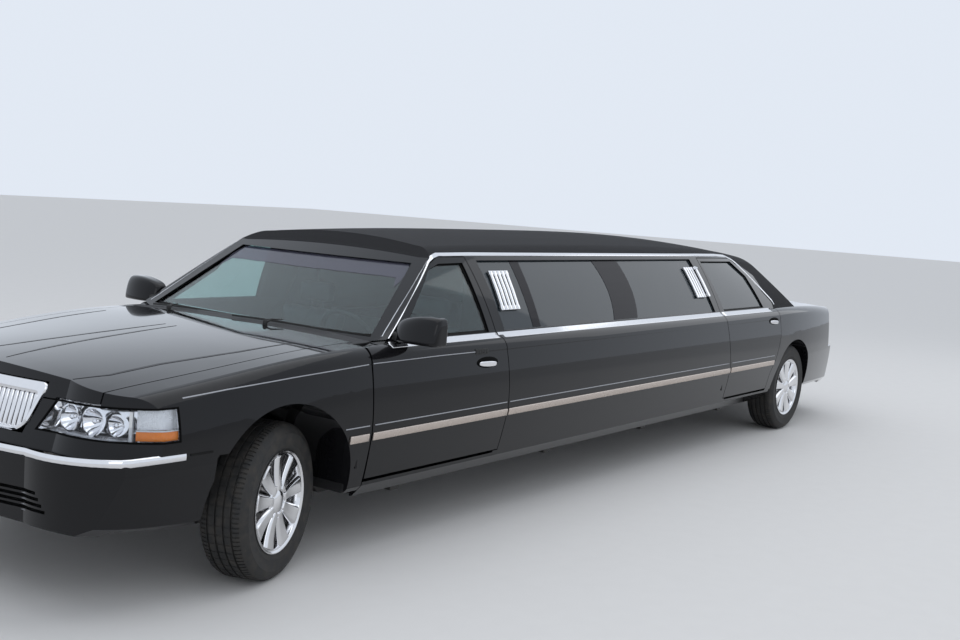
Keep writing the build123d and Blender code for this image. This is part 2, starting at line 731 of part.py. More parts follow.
for side in (1, -1):
    y0, y1 = sorted((side * (goose_y + strap_height / 2 + 4), side * (goose_y + strap_height / 2 + 14)))
    plate = box(bracket_x1 - 20, bracket_x1, y0, y1, 868, 1003)
    y0, y1 = sorted((side * (goose_y - strap_height / 2 - 6), side * (goose_y + strap_height / 2 + 14)))
    shoe = box(bracket_x0, bracket_x1, y0, y1, 868, 922)
    quarter = quarter + plate + shoe
quarter = quarter - goose_straps(lid_axis_x, -24, 66, 150, strap_fit)
write("quarter_panels", one(quarter))
rear_bumper = one(tail_low_skin & box(tail_x - 10, bumper_front_x, -big, big, 200, bumper_top_z))
write("rear_bumper", rear_bumper)

# Floor and frame
floor_points = [
    (-floor_half_width, floor_z), (-160, floor_z), (-120, tunnel_top_z), (120, tunnel_top_z),
    (160, floor_z), (floor_half_width, floor_z),
]
upper_points = [(y, z + floor_sheet) for y, z in reversed(floor_points)]
floor_front_x = door_front_x
floor_rear_x = rear_axle_x + 470
floor_face = Face(Wire(Polyline([(floor_rear_x, y, z) for y, z in floor_points + upper_points], close=True)))
floor = Solid.extrude(floor_face, Vector(floor_front_x - floor_rear_x, 0, 0))

rail_points = [
    (nose_x - 170, rail_high_z), (front_axle_x - 520, rail_high_z), (front_axle_x - 760, rail_low_z),
    (rear_axle_x + 760, rail_low_z), (rear_axle_x + 460, rear_rail_z), (tail_x + 160, rear_rail_z),
    (tail_x + 160, rear_rail_z + rail_height), (rear_axle_x + 430, rear_rail_z + rail_height),
    (rear_axle_x + 730, rail_low_z + rail_height), (front_axle_x - 730, rail_low_z + rail_height),
    (front_axle_x - 500, rail_high_z + rail_height), (nose_x - 170, rail_high_z + rail_height),
]
rail = side_prism(rail_points, rail_inner_y, rail_outer_y)
frame = rail + mirrored(rail)
for x in cross_rows:
    x0 = front_axle_x + x
    frame = frame + box(x0 - 40, x0 + 40, -rail_outer_y + 10, rail_outer_y - 10, cross_z, rail_low_z + rail_height)
    for side in (1, -1):
        y0, y1 = sorted((side * (rail_outer_y - 5), side * (floor_half_width - 30)))
        frame = frame + box(x0 - 30, x0 + 30, y0, y1, rail_low_z + 70, floor_z)
frame = frame + box(front_axle_x - 90, front_axle_x + 90, -rail_outer_y, rail_outer_y, 190, 300)
frame = frame + box(front_axle_x - 60, front_axle_x + 60, rail_inner_y, rail_outer_y, 290, rail_high_z + 10)
frame = frame + box(front_axle_x - 60, front_axle_x + 60, -rail_outer_y, -rail_inner_y, 290, rail_high_z + 10)
frame = frame + box(nose_x - 230, nose_x - 170, -rail_outer_y, rail_outer_y, rail_high_z, rail_high_z + rail_height)
frame = frame + box(tail_x + 160, tail_x + 220, -rail_outer_y, rail_outer_y, rear_rail_z, rear_rail_z + rail_height)
write("chassis_frame", frame)
write("floor_pan", one(floor - frame))

# Wheels and tyres, modelled about the wheel centre with +Y outboard


def spun(points):
    """Ring about the Y axis from a profile of (radius, y) points."""
    face = Face(Wire(Polyline([(r, y, 0) for r, y in points], close=True)))
    return Solid.revolve(face, 360, Axis.Y)


half_rim = rim_width / 2
rim_profile = [
    (rim_radius, -half_rim - 6), (rim_radius, -half_rim), (bead_radius, -half_rim), (bead_radius, -70),
    (barrel_radius, -58), (barrel_radius, 30), (bead_radius, 56), (bead_radius, half_rim),
    (rim_radius, half_rim), (rim_radius, half_rim + 6), (bead_radius - 6, half_rim + 6),
    (bead_radius - 8, 60), (barrel_radius - 8, 34), (barrel_radius - 8, -54), (bead_radius - 9, -64),
    (bead_radius - 9, -half_rim - 6),
]
half_tyre = tyre_width / 2
tyre_profile = [
    (bead_radius + seat_gap, -half_rim + seat_gap), (bead_radius + seat_gap, -half_rim + 24),
    (250, -half_rim + 18), (300, -half_tyre + 14), (338, -80), (338, 80), (300, half_tyre - 14),
    (250, half_rim - 18), (bead_radius + seat_gap, half_rim - 24), (bead_radius + seat_gap, half_rim - seat_gap),
    (rim_radius + 3, half_rim - seat_gap), (250, half_tyre - 7), (280, half_tyre), (308, half_tyre - 2),
    (334, half_tyre - 14), (345, half_tyre - 30), (tyre_radius, half_tyre - 48), (tyre_radius, -half_tyre + 48),
    (345, -half_tyre + 30), (334, -half_tyre + 14), (308, -half_tyre + 2), (280, -half_tyre),
    (250, -half_tyre + 7), (rim_radius + 3, -half_rim + seat_gap),
]


def wheel_piece():
    """Rim with its spokes, hub, cap and brake disc."""
    rim = spun(rim_profile)
    hub = spun([(hub_bore_radius, -8), (75, -8), (72, 84), (58, 92), (0, 96), (0, 60), (hub_bore_radius, 60)])
    disc = spun([(60, disc_y0), (disc_radius, disc_y0), (disc_radius, disc_y1), (60, disc_y1)])
    spoke = Face(Wire(Polyline([(40, -17, 0), (212, -25, 0), (212, 25, 0), (40, 17, 0)], close=True)))
    spoke = Solid.extrude(spoke, Vector(0, 0, 26))
    spoke = Rot(90, 0, 0) * spoke
    wheel = rim + hub + disc
    for k in range(spoke_count):
        wheel = wheel + Rot(0, 360 / spoke_count * k, 0) * (Pos(0, 88, 0) * spoke)
    return one(wheel)


wheel = wheel_piece()
tyre = spun(tyre_profile)
steer = Pos(front_axle_x, kingpin_y, 0) * Rot(0, 0, steer_at_rest) * Pos(-front_axle_x, -kingpin_y, 0)
steer_right = Pos(front_axle_x, -kingpin_y, 0) * Rot(0, 0, steer_at_rest) * Pos(-front_axle_x, kingpin_y, 0)
flip = Rot(0, 0, 180)
places = {
    "front_left": steer * Pos(front_axle_x, front_half_track, tyre_radius),
    "front_right": steer_right * Pos(front_axle_x, -front_half_track, tyre_radius) * flip,
    "rear_left": Pos(rear_axle_x, rear_half_track, tyre_radius),
    "rear_right": Pos(rear_axle_x, -rear_half_track, tyre_radius) * flip,
}
for corner_name, place in places.items():
    write(f"wheel_{corner_name}", place * wheel)
    write(f"tyre_{corner_name}", place * tyre)

# Knuckles, axles and suspension arms
scrub = front_half_track - kingpin_y


def knuckle_piece():
    """Steered upright about the wheel centre, with its stub axle, brake caliper and ball pins."""
    body = box(-26, 26, -scrub - 24, -scrub + 16, -ball_joint_rise, ball_joint_rise)
    stub = cylinder_y(0, 0, spindle_radius, -scrub, 55)
    flange = cylinder_y(0, 0, 58, -scrub - 24, -scrub + 18)
    pins = [
        Pos(0, -scrub, side * (ball_joint_rise + 15)) * Cylinder(pin_radius, 30) for side in (1, -1)
    ]
    caliper = box(-150, -60, -scrub + 2, disc_y1 + 22, -55, 55) & cylinder_y(0, 0, 186, -60, 60)
    caliper = caliper - cylinder_y(0, 0, disc_radius + 3, disc_y0 - 2, disc_y1 + 2)
    caliper = caliper - cylinder_y(0, 0, 84, disc_y0 - 2, 60)
    bridge = box(-150, 0, -scrub - 10, -scrub + 10, -40, 40)
    return one(body + stub + flange + pins[0] + pins[1] + caliper + bridge)


knuckle = knuckle_piece()
write("knuckle_left", places["front_left"] * knuckle)
write("knuckle_right", places["front_right"] * knuckle)


def arm(z0, z1, foot_half_x):
    """Left wishbone: two legs from the frame to a ball joint boss on the steering axis."""
    plan = Polyline(
        [
            (front_axle_x - foot_half_x, rail_outer_y, z0), (front_axle_x + foot_half_x, rail_outer_y, z0),
            (front_axle_x + 20, kingpin_y - 12, z0), (front_axle_x - 20, kingpin_y - 12, z0),
        ],
        close=True,
    )
    plate = Solid.extrude(Face(Wire(plan)), Vector(0, 0, z1 - z0))
    boss = Pos(front_axle_x, kingpin_y, (z0 + z1) / 2) * Cylinder(22, z1 - z0)
    bore = Pos(front_axle_x, kingpin_y, (z0 + z1) / 2) * Cylinder(pin_radius + 0.05, z1 - z0 + 20)
    return one((plate + boss) - bore)


low_arm = arm(tyre_radius - ball_joint_rise - 30, tyre_radius - ball_joint_rise - 1, 80)
high_arm = arm(tyre_radius + ball_joint_rise + 1, tyre_radius + ball_joint_rise + 19, 60)
write("front_suspension", low_arm, high_arm, mirrored(low_arm), mirrored(high_arm))

axle = cylinder_y(rear_axle_x, tyre_radius, 40, -rear_half_track + 24, rear_half_track - 24)
axle = axle + cylinder_y(rear_axle_x, tyre_radius, spindle_radius, -rear_half_track - 55, rear_half_track + 55)
axle = axle + Pos(rear_axle_x, 0, tyre_radius) * Sphere(128)
axle = axle + Pos(rear_axle_x + 130, 0, tyre_radius) * Rot(0, 90, 0) * Cylinder(55, 120)
spring_y = (rail_inner_y + rail_outer_y) / 2
for side in (1, -1):
    axle = axle + Pos(rear_axle_x, side * spring_y, (tyre_radius + rear_rail_z) / 2) * Cylinder(
        60, rear_rail_z - tyre_radius
    )
write("rear_axle", one(axle))

engine = box(front_axle_x - 350, front_axle_x + 330, -290, 290, 300, 850)
gearbox = box(gearbox_rear_x, front_axle_x - 350, -100, 100, rail_low_z + rail_height, tunnel_top_z - 20)
engine = one(engine + gearbox)
write("engine_block", engine)
shaft_rear_x = rear_axle_x + 190
shaft_length = gearbox_rear_x - shaft_rear_x
shaft = Pos((gearbox_rear_x + shaft_rear_x) / 2, 0, tyre_radius) * Rot(0, 90, 0) * Cylinder(38, shaft_length)
write("driveshaft", shaft)

pipe_length = gearbox_rear_x - pipe_rear_x
pipe_mid_x = (gearbox_rear_x + pipe_rear_x) / 2
pipe = Pos(pipe_mid_x, pipe_y, pipe_z) * Rot(0, 90, 0) * Cylinder(pipe_radius, pipe_length)
muffler = Pos(rear_axle_x - 700, pipe_y, pipe_z) * Rot(0, 90, 0) * Cylinder(62, 420)
bore = Pos(pipe_rear_x, pipe_y, pipe_z) * Rot(0, 90, 0) * Cylinder(pipe_radius - pipe_wall, 300)
pipe = pipe + muffler - bore
for x in cross_rows[1:]:
    pipe = pipe + box(front_axle_x + x - 15, front_axle_x + x + 15, pipe_y - 10, pipe_y + 10, pipe_z, cross_z)
for x in (rear_axle_x - 540, pipe_rear_x + 200):
    pipe = pipe + box(x - 15, x + 15, pipe_y - 10, pipe_y + 10, pipe_z + 20, rear_floor_z)
pipe = one(pipe)
write("exhaust", pipe, mirrored(pipe))

# Cabin
dash_points = [
    (door_front_x, 700), (door_front_x, 930), (front_axle_x - 692, 930), (front_axle_x - 692, 985),
    (front_axle_x - 780, 1000), (front_axle_x - 880, 965), (front_axle_x - 900, 780), (front_axle_x - 850, 690),
]
column_place = Pos(front_axle_x - 1040, 370, 925) * Rot(0, -steering_tilt, 0)
steering_wheel = Torus(190, 15) + Cylinder(45, 40) + Box(30, 370, 16) + Pos(-95, 0, 0) * Box(180, 34, 16)
steering_wheel = steering_wheel + Pos(0, 0, -42) * Cylinder(column_bore - 0.05, 46)
write("steering_wheel", one(column_place * steering_wheel))
shroud = Pos(0, 0, -125) * Cylinder(34, 200) - Pos(0, 0, -50) * Cylinder(column_bore, 60)
dash = side_prism(dash_points, -800, 800)
write("dashboard", one(dash + column_place * shroud))


def seat(x, y0, y1, foot_z, cushion_z, back_z, back_lean, cushion_depth):
    """Seat facing forwards with its rear foot at x: cushion, back and head rests on one frame."""
    cushion = side_prism(
        [(x, foot_z), (x + cushion_depth - 60, foot_z), (x + cushion_depth, cushion_z), (x, cushion_z - 40)],
        y0, y1,
    )
    back = side_prism(
        [(x - 20, cushion_z - 120), (x + 110, cushion_z - 60), (x + 90 - back_lean, back_z), (x - 20 - back_lean, back_z)],
        y0, y1,
    )
    return one(cushion + back)


front_seat = seat(front_axle_x - 1540, 165, 700, floor_z + floor_sheet, 590, 1060, 110, 560)
write("front_seats", front_seat, mirrored(front_seat))
rear_seat = seat(rear_axle_x + 520, -680, 680, tunnel_top_z + floor_sheet, 600, 1060, 90, 560) - frame
side_seat = box(front_axle_x - 4150, front_axle_x - 2100, -830, -330, 330, 600) + box(
    front_axle_x - 4150, front_axle_x - 2100, -830, -700, 590, 990
)
side_base = box(front_axle_x - 4100, front_axle_x - 2150, -800, -400, floor_z + floor_sheet, 340)
write("lounge_seats", one(rear_seat), one(side_seat + side_base))
partition = Face(
    Wire(
        Polyline(
            [(partition_x, y, z) for y, z in (
                (-800, floor_z + floor_sheet), (-160, floor_z + floor_sheet), (-120, tunnel_top_z + floor_sheet),
                (120, tunnel_top_z + floor_sheet), (160, floor_z + floor_sheet), (800, floor_z + floor_sheet),
                (820, 1000), (640, 1375), (-640, 1375), (-820, 1000))],
            close=True,
        )
    )
)
partition = Solid.extrude(partition, Vector(25, 0, 0)) - box(partition_x - 10, partition_x + 50, -560, 560, 980, 1330)
write("partition", one(partition))

# Mirrors and pillar ornaments
mirror_x = front_axle_x - 790
mirror_foot_z = 1012
mirror_plan = [
    Line((mirror_x - 66, 935, mirror_foot_z), (mirror_x - 60, 1135, mirror_foot_z)),
    ThreePointArc(
        (mirror_x - 60, 1135, mirror_foot_z), (mirror_x - 15, 1148, mirror_foot_z), (mirror_x + 30, 1110, mirror_foot_z)
    ),
    Line((mirror_x + 30, 1110, mirror_foot_z), (mirror_x + 62, 940, mirror_foot_z)),
    Line((mirror_x + 62, 940, mirror_foot_z), (mirror_x - 66, 935, mirror_foot_z)),
]
mirror_head = plan_prism(mirror_plan, mirror_foot_z, mirror_foot_z + 152)
mirror_head = fillet(mirror_head.edges(), 28)
mirror_foot = box(mirror_x - 60, mirror_x - 4, 830, 960, 1030, 1064)
mirror_piece = one((mirror_head + mirror_foot) - cabin_outer - side_wall)
write("mirror_left", mirror_piece)
write("mirror_right", mirrored(mirror_piece))
ornament_layer = one(greenhouse(-8) - cabin_skin)
ornaments = []
for x, slant in ((front_axle_x - 1660, 44), (front_axle_x - 4005, 110)):
    outline = [(x, 1338), (x - 186, 1338), (x - 186 - slant, 1128), (x - slant, 1128)]
    ornaments.append(one(ornament_layer & window(outline)))
write("pillar_ornaments", *ornaments, *[mirrored(o) for o in ornaments])
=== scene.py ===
"""Looks of the stretch limousine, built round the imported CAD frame.

Everything is in metres in the frame of the CAD: +X forwards, +Y to the car's left, +Z up.
Left-hand pieces are modelled once and mirrored to the right.
"""

import logging
from dataclasses import dataclass
from enum import Enum
from math import atan2, cos, pi, radians, sin
from typing import Callable, ClassVar, Sequence

import bmesh
import bpy
from mathutils import Matrix, Vector


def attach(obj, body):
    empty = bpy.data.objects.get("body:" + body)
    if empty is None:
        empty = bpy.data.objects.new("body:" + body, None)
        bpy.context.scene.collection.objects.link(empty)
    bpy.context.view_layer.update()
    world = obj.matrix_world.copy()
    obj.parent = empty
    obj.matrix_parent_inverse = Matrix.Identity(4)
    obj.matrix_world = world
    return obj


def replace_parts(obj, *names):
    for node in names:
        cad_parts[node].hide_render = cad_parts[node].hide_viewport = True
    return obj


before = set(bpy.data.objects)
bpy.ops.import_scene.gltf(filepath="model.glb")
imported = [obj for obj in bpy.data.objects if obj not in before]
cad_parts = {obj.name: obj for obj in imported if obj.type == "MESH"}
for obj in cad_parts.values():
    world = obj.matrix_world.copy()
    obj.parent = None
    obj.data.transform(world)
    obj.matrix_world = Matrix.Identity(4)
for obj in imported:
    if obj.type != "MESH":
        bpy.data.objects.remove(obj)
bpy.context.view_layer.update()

log = logging.getLogger("limousine")
Point = tuple[float, float, float]
Pair = tuple[float, float]

FRONT_AXLE_X = 3.0775
REAR_AXLE_X = -2.7065

# Rays are shot at the CAD skins from clear of the car: beside it, ahead of or behind it, above or round it.
CLEAR_OF_CAR = 2.0
FAR_ALONG = 6.0
WELL_CLEAR = 3.0
INWARDS = (0.0, -1.0, 0.0)
BACKWARDS = (-1.0, 0.0, 0.0)
FORWARDS = (1.0, 0.0, 0.0)
DOWNWARDS = (0.0, 0.0, -1.0)
# A skin nearer the middle than this isn't the flank.
FLANK_STARTS_Y = 0.25


class Side(Enum):
    """The two sides of the car, with the sign of Y on each."""

    LEFT = 1
    RIGHT = -1

    @property
    def word(self) -> str:
        """The side's name in the names of nodes."""
        return self.name.lower()


# ---------------------------------------------------------------- finishes


class Sheet:
    """One material's node tree, with short calls for the nodes used here."""

    def __init__(self, name: str) -> None:
        """Starts a material with a Principled shader and Object coordinates.

        Args:
            name: the material's name.
        """
        self.material = bpy.data.materials.new(name)
        self.material.use_nodes = True
        self.tree = self.material.node_tree
        self.shader = self.tree.nodes["Principled BSDF"]
        self.place = self.tree.nodes.new("ShaderNodeTexCoord").outputs["Object"]

    def put(self, **values: object) -> None:
        """Sets plain values on the shader's own sockets, underscores standing for spaces."""
        for key, value in values.items():
            self.shader.inputs[key.replace("_", " ")].default_value = value

    def node(self, kind: str, **settings: object) -> bpy.types.Node:
        """Adds a node.

        Args:
            kind: the node's type.
            settings: attributes of the node.

        Returns:
            The new node.
        """
        made = self.tree.nodes.new(kind)
        for key, value in settings.items():
            setattr(made, key, value)
        return made

    def join(self, a: object, b: object) -> None:
        """Links an output to an input."""
        self.tree.links.new(a, b)

    def pattern(self, kind: str, **values: float) -> bpy.types.Node:
        """Adds a texture node read on Object coordinates.

        Args:
            kind: the node's type.
            values: plain values of its sockets.

        Returns:
            The new node.
        """
        made = self.node(kind)
        for key, value in values.items():
            made.inputs[key].default_value = value
        self.join(self.place, made.inputs["Vector"])
        return made

    def noise(self, scale: float, detail: float = 3.0) -> object:
        """Noise value.

        Args:
            scale: spots per metre.
            detail: octaves.

        Returns:
            The value's socket.
        """
        return self.pattern("ShaderNodeTexNoise", Scale=scale, Detail=detail).outputs["Fac"]

    def cells(self, scale: float) -> object:
        """Distance to the nearest cell centre, for pebbled grain.

        Args:
            scale: cells per metre.

        Returns:
            The distance's socket.
        """
        return self.pattern("ShaderNodeTexVoronoi", Scale=scale).outputs["Distance"]

    def ramp(self, value: object, low: float, high: float, to_low: float, to_high: float) -> object:
        """A value mapped from one range to another.

        Args:
            value: the socket to map.
            low: start of the range that comes in.
            high: end of the range that comes in.
            to_low: start of the range that goes out.
            to_high: end of the range that goes out.

        Returns:
            The mapped value's socket.
        """
        made = self.node("ShaderNodeMapRange")
        for key, number in zip(("From Min", "From Max", "To Min", "To Max"), (low, high, to_low, to_high)):
            made.inputs[key].default_value = number
        self.join(value, made.inputs["Value"])
        return made.outputs["Result"]

    def blend(self, value: object, first: Point, second: Point) -> object:
        """Two colours mixed by a value.

        Args:
            value: the mixing socket, from 0 to 1.
            first: colour at 0.
            second: colour at 1.

        Returns:
            The colour's socket.
        """
        made = self.node("ShaderNodeMix", data_type="RGBA")
        colour_a, colour_b, mixed = made.inputs[6], made.inputs[7], made.outputs[2]
        colour_a.default_value = (*first, 1)
        colour_b.default_value = (*second, 1)
        self.join(value, made.inputs["Factor"])
        return mixed

    def colour(self, socket: object) -> None:
        """Feeds the base colour."""
        self.join(socket, self.shader.inputs["Base Color"])

    def rough(self, socket: object) -> None:
        """Feeds the roughness."""
        self.join(socket, self.shader.inputs["Roughness"])

    def bump(self, height: object, strength: float, distance: float) -> None:
        """Feeds the normal from a height.

        Args:
            height: the height's socket.
            strength: how much of the bump shows.
            distance: the bump's real height in metres.
        """
        made = self.node("ShaderNodeBump")
        made.inputs["Strength"].default_value = strength
        made.inputs["Distance"].default_value = distance
        self.join(height, made.inputs["Height"])
        self.join(made.outputs["Normal"], self.shader.inputs["Normal"])


@dataclass(frozen=True)
class Finish:
    """A surface finish, with the record's material slot. Subclasses say how its nodes are laid out."""

    name: str
    colour: Point = (0.5, 0.5, 0.5)
    second: Point = (0.45, 0.45, 0.45)
    roughness: float = 0.5
    slot: str = ""

    def lay(self, sheet: Sheet) -> None:
        """Lays out the nodes: here a mottled colour with a fine bump.

        Args:
            sheet: the material's node tree.
        """
        self.mottle(sheet, 9.0, 3.0, 0.92, 1.08)
        sheet.bump(sheet.noise(600.0), 0.2, 0.0004)

    def mottle(self, sheet: Sheet, scale: float, detail: float, least: float, most: float) -> None:
        """Lays spots of the two colours, and a roughness that follows them.

        Args:
            sheet: the material's node tree.
            scale: spots per metre.
            detail: octaves.
            least: the least roughness, as a share of the finish's own.
            most: the greatest, as such a share.
        """
        spots = sheet.noise(scale, detail)
        sheet.colour(sheet.blend(spots, self.colour, self.second))
        sheet.rough(sheet.ramp(spots, 0.3, 0.7, self.roughness * least, self.roughness * most))

    def material(self) -> bpy.types.Material:
        """The finish's material, made on first use.

        Returns:
            The material.
        """
        found = bpy.data.materials.get(self.name)
        if found:
            return found
        sheet = Sheet(self.name)
        sheet.material.diffuse_color = (*self.colour, 1)
        self.lay(sheet)
        return sheet.material


@dataclass(frozen=True)
class Lacquer(Finish):
    """Deep gloss body paint under clear coat, with faint dust and orange peel."""

    coat: float = 1.0

    def lay(self, sheet: Sheet) -> None:
        """Lays out the paint.

        Args:
            sheet: the material's node tree.
        """
        dust = sheet.noise(2.2, 6.0)
        sheet.colour(sheet.blend(dust, self.colour, self.second))
        sheet.rough(sheet.ramp(dust, 0.35, 0.75, self.roughness, self.roughness * 2.2))
        sheet.put(Coat_Weight=self.coat, Coat_IOR=1.28, Coat_Roughness=0.02, Specular_IOR_Level=0.10)
        sheet.bump(sheet.noise(160.0, 2.0), 0.04, 0.0003)


@dataclass(frozen=True)
class Metal(Finish):
    """Bare or plated metal, with faint smears in its polish."""

    smears: float = 60.0

    def lay(self, sheet: Sheet) -> None:
        """Lays out the metal.

        Args:
            sheet: the material's node tree.
        """
        self.mottle(sheet, self.smears, 4.0, 0.7, 1.4)
        sheet.put(Metallic=1.0)
        sheet.bump(sheet.noise(240.0, 2.0), 0.03, 0.0003)


@dataclass(frozen=True)
class Vinyl(Finish):
    """Padded roof covering with a fine pebble grain."""

    def lay(self, sheet: Sheet) -> None:
        """Lays out the vinyl.

        Args:
            sheet: the material's node tree.
        """
        patch = sheet.noise(3.0, 5.0)
        grain = sheet.cells(520.0)
        sheet.colour(sheet.blend(patch, self.colour, self.second))
        sheet.rough(sheet.ramp(grain, 0.0, 0.9, self.roughness * 0.85, self.roughness))
        sheet.put(Specular_IOR_Level=0.20)
        sheet.bump(grain, 0.55, 0.0009)


@dataclass(frozen=True)
class Hide(Finish):
    """Seat leather with creased grain."""

    def lay(self, sheet: Sheet) -> None:
        """Lays out the leather.

        Args:
            sheet: the material's node tree.
        """
        self.mottle(sheet, 7.0, 5.0, 0.85, 1.1)
        sheet.bump(sheet.cells(330.0), 0.4, 0.0008)


@dataclass(frozen=True)
class Rubber(Finish):
    """Black rubber with road dust."""

    sheen: float = 0.5

    def lay(self, sheet: Sheet) -> None:
        """Lays out the rubber.

        Args:
            sheet: the material's node tree.
        """
        dust = sheet.noise(24.0, 8.0)
        sheet.colour(sheet.blend(sheet.ramp(dust, 0.42, 0.75, 0.0, 1.0), self.colour, self.second))
        sheet.rough(sheet.ramp(dust, 0.3, 0.7, self.roughness * 0.85, self.roughness))
        sheet.put(Specular_IOR_Level=self.sheen)
        sheet.bump(sheet.noise(900.0, 3.0), 0.35, 0.0003)


@dataclass(frozen=True)
class Glazing(Finish):
    """Tinted glass that lets light through."""

    clear: float = 1.0
    bend: float = 1.45

    def lay(self, sheet: Sheet) -> None:
        """Lays out the glass.

        Args:
            sheet: the material's node tree.
        """
        self.mottle(sheet, 3.0, 4.0, 1.0, 2.0)
        sheet.put(Transmission_Weight=self.clear, IOR=self.bend, Coat_Weight=0.2)


@dataclass(frozen=True)
class Fluted(Finish):
    """Moulded lens or reflector with upright flutes."""

    metallic: float = 0.0
    clear: float = 0.0
    pitch: float = 90.0
    depth: float = 0.0012

    def lay(self, sheet: Sheet) -> None:
        """Lays out the flutes.

        Args:
            sheet: the material's node tree.
        """
        wave = sheet.pattern("ShaderNodeTexWave", Scale=self.pitch, Distortion=0.0)
        wave.bands_direction = "Y"
        self.mottle(sheet, 30.0, 4.0, 1.0, 1.8)
        sheet.put(Metallic=self.metallic, Transmission_Weight=self.clear, IOR=1.46, Coat_Weight=0.5)
        sheet.bump(wave.outputs["Fac"], 0.5, self.depth)


class Finishes:
    """The finishes of the car, by what they cover."""

    paint = Lacquer("black_lacquer", (0.0045, 0.0046, 0.0060), (0.0080, 0.0078, 0.0086), 0.05, "black_paint")
    vinyl = Vinyl("roof_vinyl", (0.0065, 0.0065, 0.0080), (0.0100, 0.0098, 0.0115), 0.74)
    chrome = Metal("bright_chrome", (0.88, 0.88, 0.89), (0.80, 0.80, 0.82), 0.07, "chrome")
    wheel = Metal("wheel_chrome", (0.86, 0.85, 0.84), (0.74, 0.73, 0.72), 0.10, "wheel_chrome")
    satin = Metal("satin_moulding", (0.64, 0.56, 0.50), (0.56, 0.49, 0.44), 0.32, "chrome")
    # Pale pinstripe; also the pale strip painted along the flank crease as its highlight.
    piping = Finish("pale_stripe", (0.36, 0.37, 0.40), (0.32, 0.33, 0.36), 0.35, "black_trim")
    # Black trim; also the dark sheets painted as the shade behind the grille bars and in the air slots.
    trim = Finish("black_trim", (0.012, 0.012, 0.013), (0.018, 0.018, 0.019), 0.42, "black_trim")
    # Black rubber seals; also the dark strips painted as the shade in the fender grooves.
    seal = Rubber("seal_rubber", (0.006, 0.006, 0.006), (0.010, 0.010, 0.009), 0.62, "black_trim", sheen=0.15)
    tread = Rubber("tyre_rubber", (0.016, 0.016, 0.016), (0.042, 0.037, 0.032), 0.78, "tyre")
    screen = Glazing("screen_glass", (0.62, 0.78, 0.76), (0.56, 0.73, 0.71), 0.01)
    door_glass = Glazing("door_glass", (0.48, 0.66, 0.66), (0.43, 0.61, 0.61), 0.01)
    privacy = Glazing("privacy_glass", (0.030, 0.040, 0.047), (0.024, 0.033, 0.040), 0.02, clear=0.25)
    sun = Glazing("sun_band_film", (0.20, 0.20, 0.27), (0.17, 0.17, 0.24), 0.03, "dark_glass", clear=0.7)
    # Dark bands on the stretch glass; also the dark lines painted as the shade of the hood creases.
    band = Lacquer("glass_band", (0.012, 0.011, 0.014), (0.016, 0.015, 0.018), 0.10, "dark_glass", coat=0.15)
    lens = Glazing("lamp_lens", (0.97, 0.98, 1.0), (0.94, 0.96, 0.98), 0.01, bend=1.18)
    bowl = Metal("lamp_bowl", (0.90, 0.90, 0.91), (0.82, 0.82, 0.84), 0.08, "lamp_chrome")
    flutes = Fluted("lamp_flutes", (0.82, 0.83, 0.85), (0.68, 0.69, 0.72), 0.16, "lamp_chrome", metallic=0.8)
    divider = Finish("lamp_divider", (0.72, 0.74, 0.76), (0.66, 0.68, 0.70), 0.3, "lamp_chrome")
    amber = Fluted("amber_lens", (0.98, 0.27, 0.004), (0.90, 0.21, 0.004), 0.3, "clear_lens")
    red = Fluted("red_lens", (0.42, 0.008, 0.010), (0.33, 0.006, 0.008), 0.12, clear=0.1)
    bulb = Glazing("bulb_glass", (0.95, 0.95, 0.95), (0.9, 0.9, 0.9), 0.02, "clear_lens")
    leather = Hide("seat_leather", (0.060, 0.057, 0.055), (0.085, 0.080, 0.077), 0.48, "seat_leather")
    dash = Vinyl("dash_skin", (0.035, 0.035, 0.037), (0.045, 0.045, 0.047), 0.6)
    lining = Hide("partition_lining", (0.05, 0.05, 0.053), (0.04, 0.04, 0.043), 0.7, "black_trim")
    frame_black = Finish("frame_coat", (0.018, 0.018, 0.018), (0.035, 0.030, 0.026), 0.6)
    under = Finish("underbody_coat", (0.030, 0.029, 0.028), (0.048, 0.043, 0.038), 0.85)
    steel = Metal("exhaust_steel", (0.42, 0.39, 0.35), (0.27, 0.24, 0.21), 0.38)
    slot_edge = Metal("slot_edge", (0.30, 0.30, 0.31), (0.24, 0.24, 0.25), 0.25, "chrome")
    # Black lamp gasket; also the dark ovals painted as the shade in the door handles' recesses.
    gasket = Rubber("lamp_gasket", (0.003, 0.003, 0.003), (0.005, 0.005, 0.005), 0.6, "black_trim", sheen=0.03)
    frosting = Fluted(
        "frosted_lens", (0.86, 0.87, 0.88), (0.78, 0.79, 0.81), 0.22, "lamp_chrome", pitch=60.0, metallic=0.25
    )
    iron = Metal("cast_iron", (0.20, 0.19, 0.18), (0.12, 0.11, 0.10), 0.55)
    disc = Metal("brake_disc", (0.48, 0.47, 0.46), (0.36, 0.34, 0.32), 0.30, "running_gear")
    mirror = Metal("mirror_glass", (0.80, 0.84, 0.87), (0.76, 0.80, 0.84), 0.02, "chrome")
    plate = Finish("blank_plate", (0.70, 0.70, 0.68), (0.64, 0.64, 0.62), 0.4, "black_trim")
    floor = Finish("floor_coat", (0.74, 0.735, 0.73), (0.72, 0.715, 0.71), 0.9)


# ---------------------------------------------------------------- modelling


def deselect() -> None:
    """Leaves edit mode and deselects everything."""
    if bpy.context.object and bpy.context.object.mode != "OBJECT":
        bpy.ops.object.mode_set(mode="OBJECT")
    bpy.ops.object.select_all(action="DESELECT")


def met(nodes: str, start: Sequence[float], way: Sequence[float]) -> Vector | None:
    """The first point where a ray meets CAD skins.

    Args:
        nodes: the CAD nodes, parted by spaces.
        start: where the ray starts.
        way: its direction, one metre long.

    Returns:
        The point, or None where the ray misses every skin.
    """
    origin = Vector(start)
    hits = [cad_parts[node].ray_cast(origin, Vector(way)) for node in nodes.split()]
    return min((place for hit, place, _, _ in hits if hit), key=lambda place: (place - origin).length, default=None)


